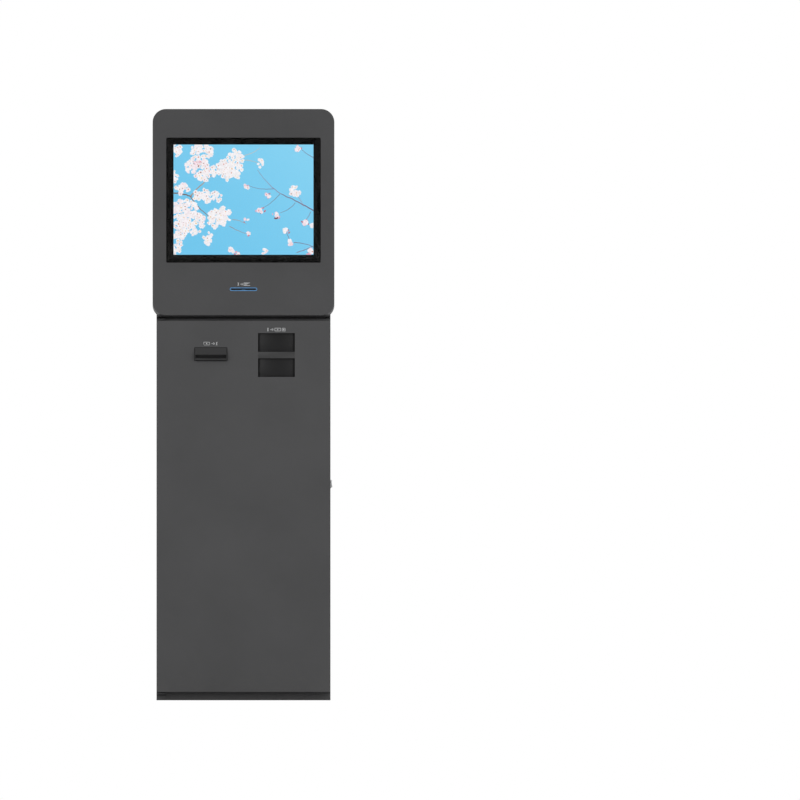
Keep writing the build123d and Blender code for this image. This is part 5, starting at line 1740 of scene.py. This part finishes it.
# ---------------------------------------------------------------- CAD finishes
class FinishBook:
    """The finish of every CAD node, by its material slot in the record."""

    def __init__(self, record: dict) -> None:
        """Makes the finishes.

        Args:
            record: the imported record.
        """
        self.slots = {item["node"]: item["material_slot"] for item in record["subparts"]}
        self.finishes = {
            "painted_steel": CoatedSteel("charcoal_powder_coat", (0.070, 0.070, 0.072)),
            "frame_steel": CoatedSteel("frame_black_coat", (0.035, 0.035, 0.037), 0.55, 1100.0),
            "galvanised_case": Metal("galvanised_sheet", (0.56, 0.57, 0.58), 0.42, (1.0, 1.0, 1.0), 45.0),
            "black_plastic": Plastic("moulded_black", (0.018, 0.018, 0.019), 0.5),
            "smoked_flap": Plastic("smoked_plain", (0.022, 0.022, 0.023), 0.3),
            "display_glass": Glass(),
            "black_print": Plastic("printed_border", (0.0088, 0.0080, 0.0074), 0.6, 3000.0, 0.000002,
                                   gloss=0.2),
            "display_picture": Plastic("panel_black", (0.01, 0.01, 0.011), 0.4),
            "lit_ring": Lit("blue_ring", srgb(92, 148, 200)),
            "polished_metal": Metal("polished_chrome", (0.70, 0.70, 0.71), 0.18, (1.0, 1.0, 1.0), 260.0),
            "zinc_steel": Metal("zinc_plate", (0.60, 0.60, 0.58), 0.38, (1.0, 1.0, 1.0), 90.0),
            "rubber": Rubber("seal_rubber"),
            "roller_rubber": Rubber("roller_rubber_grey", (0.045, 0.045, 0.048)),
            "speaker_black": Plastic("speaker_cone_black", (0.016, 0.016, 0.017), 0.75, 900.0, 0.0001),
            "receipt_paper": Paper(),
        }

    def dress(self, nodes: dict[str, bpy.types.Object]) -> None:
        """Gives every CAD node its finish.

        Args:
            nodes: the CAD nodes by name.
        """
        made: dict[str, bpy.types.Material] = {}
        for name, node in nodes.items():
            slot = self.slots[name]
            if slot not in made:
                made[slot] = self.finishes[slot].material()
            for holder in node.material_slots:
                holder.material = made[slot]
            if not node.material_slots:
                node.data.materials.append(made[slot])
            LOG.info("%s is finished in %s", name, made[slot].name)


# ---------------------------------------------------------------- studio
@dataclass
class Studio:
    """A pale floor, soft light all round and a camera square to the front."""

    view_height: float = 2.152
    aim: Vector = field(default_factory=lambda: Vector((0.421, 0.0, 0.8077)))
    distance: float = 6.0
    floor_half: float = 14.0
    floor_gap: float = 0.0005
    light_aim: Vector = field(default_factory=lambda: Vector((0.0, 0.0, 0.85)))
    surround: float = 0.42

    def _floor(self) -> None:
        """Makes the floor."""
        shape = bmesh.new()
        bmesh.ops.create_grid(shape, x_segments=1, y_segments=1, size=self.floor_half)
        floor = add_object("studio_floor", mesh_data("studio_floor", shape))
        floor.location.z = -self.floor_gap
        material, book, shader = start_material("pale_floor")
        cloud = book.cloud(book.noise(3.0, 4.0))
        book.join(book.mix(cloud, (0.80, 0.80, 0.80), (0.84, 0.84, 0.84)), shader.inputs["Base Color"])
        shader.inputs["Roughness"].default_value = 0.6
        floor.data.materials.append(material)

    def _softbox(self, name: str, place: Sequence[float], size: float, power: float) -> None:
        """Adds a large square light that faces the kiosk.

        Args:
            name: the light's name.
            place: where it stands.
            size: its side.
            power: its power in watts.
        """
        light = bpy.data.lights.new(name, "AREA")
        light.shape = "SQUARE"
        light.size = size
        light.energy = power
        holder = add_object(name, light)
        holder.location = place
        holder.rotation_euler = (self.light_aim - Vector(place)).to_track_quat("-Z", "Y").to_euler()

    def _world(self) -> None:
        """Makes the surroundings: white behind the kiosk, softer as a light source."""
        world = bpy.data.worlds.new("studio_white")
        world.use_nodes = True
        tree = world.node_tree
        tree.nodes.clear()
        book = NodeBook(tree)
        seen, light = book.add("ShaderNodeBackground"), book.add("ShaderNodeBackground")
        for node, strength in ((seen, 1.0), (light, self.surround)):
            node.inputs["Strength"].default_value = strength
            node.inputs["Color"].default_value = (1.0, 1.0, 1.0, 1.0)
        path = book.add("ShaderNodeLightPath")
        blend = book.add("ShaderNodeMixShader")
        book.join(path.outputs["Is Camera Ray"], blend.inputs[0])
        book.join(light.outputs[0], blend.inputs[1])
        book.join(seen.outputs[0], blend.inputs[2])
        out = book.add("ShaderNodeOutputWorld")
        book.join(blend.outputs[0], out.inputs[0])
        bpy.context.scene.world = world

    def build(self) -> None:
        """Makes the floor, the lights, the surroundings and the camera."""
        self._floor()
        self._world()
        self._softbox("key_front_left", (-2.6, -4.2, 1.5), 2.6, 52.0)
        self._softbox("fill_front_right", (2.9, -3.9, 1.3), 2.6, 42.0)
        self._softbox("back_left", (-3.0, 3.6, 1.8), 2.4, 48.0)
        self._softbox("back_right", (3.0, 3.6, 1.8), 2.4, 48.0)
        lens = bpy.data.cameras.new("front_camera")
        lens.type = "ORTHO"
        lens.ortho_scale = self.view_height
        camera = add_object("front_camera", lens)
        camera.location = self.aim - Vector((0, self.distance, 0))
        camera.rotation_euler = (math.radians(90.0), 0.0, 0.0)
        bpy.context.scene.camera = camera
        bpy.context.scene.view_settings.view_transform = "Standard"


def main() -> None:
    """Dresses the CAD nodes and builds every added piece, in order."""
    logging.basicConfig(level=logging.INFO, format="%(name)s: %(message)s")
    Studio().build()
    FinishBook(frame["record"]).dress(frame["nodes"])
    head = HeadFrame()
    ScreenPicture(head).build()
    PrintedMarks(head).build()
    CashInBezel().build()
    CashOutWindows().build()
    ReceiptSlot(head).build()
    RearDetails().build()
    PaperRoll().build()
    DoorLock().build()
    SeamStrips(head).build()


if __name__ == "__main__":
    main()
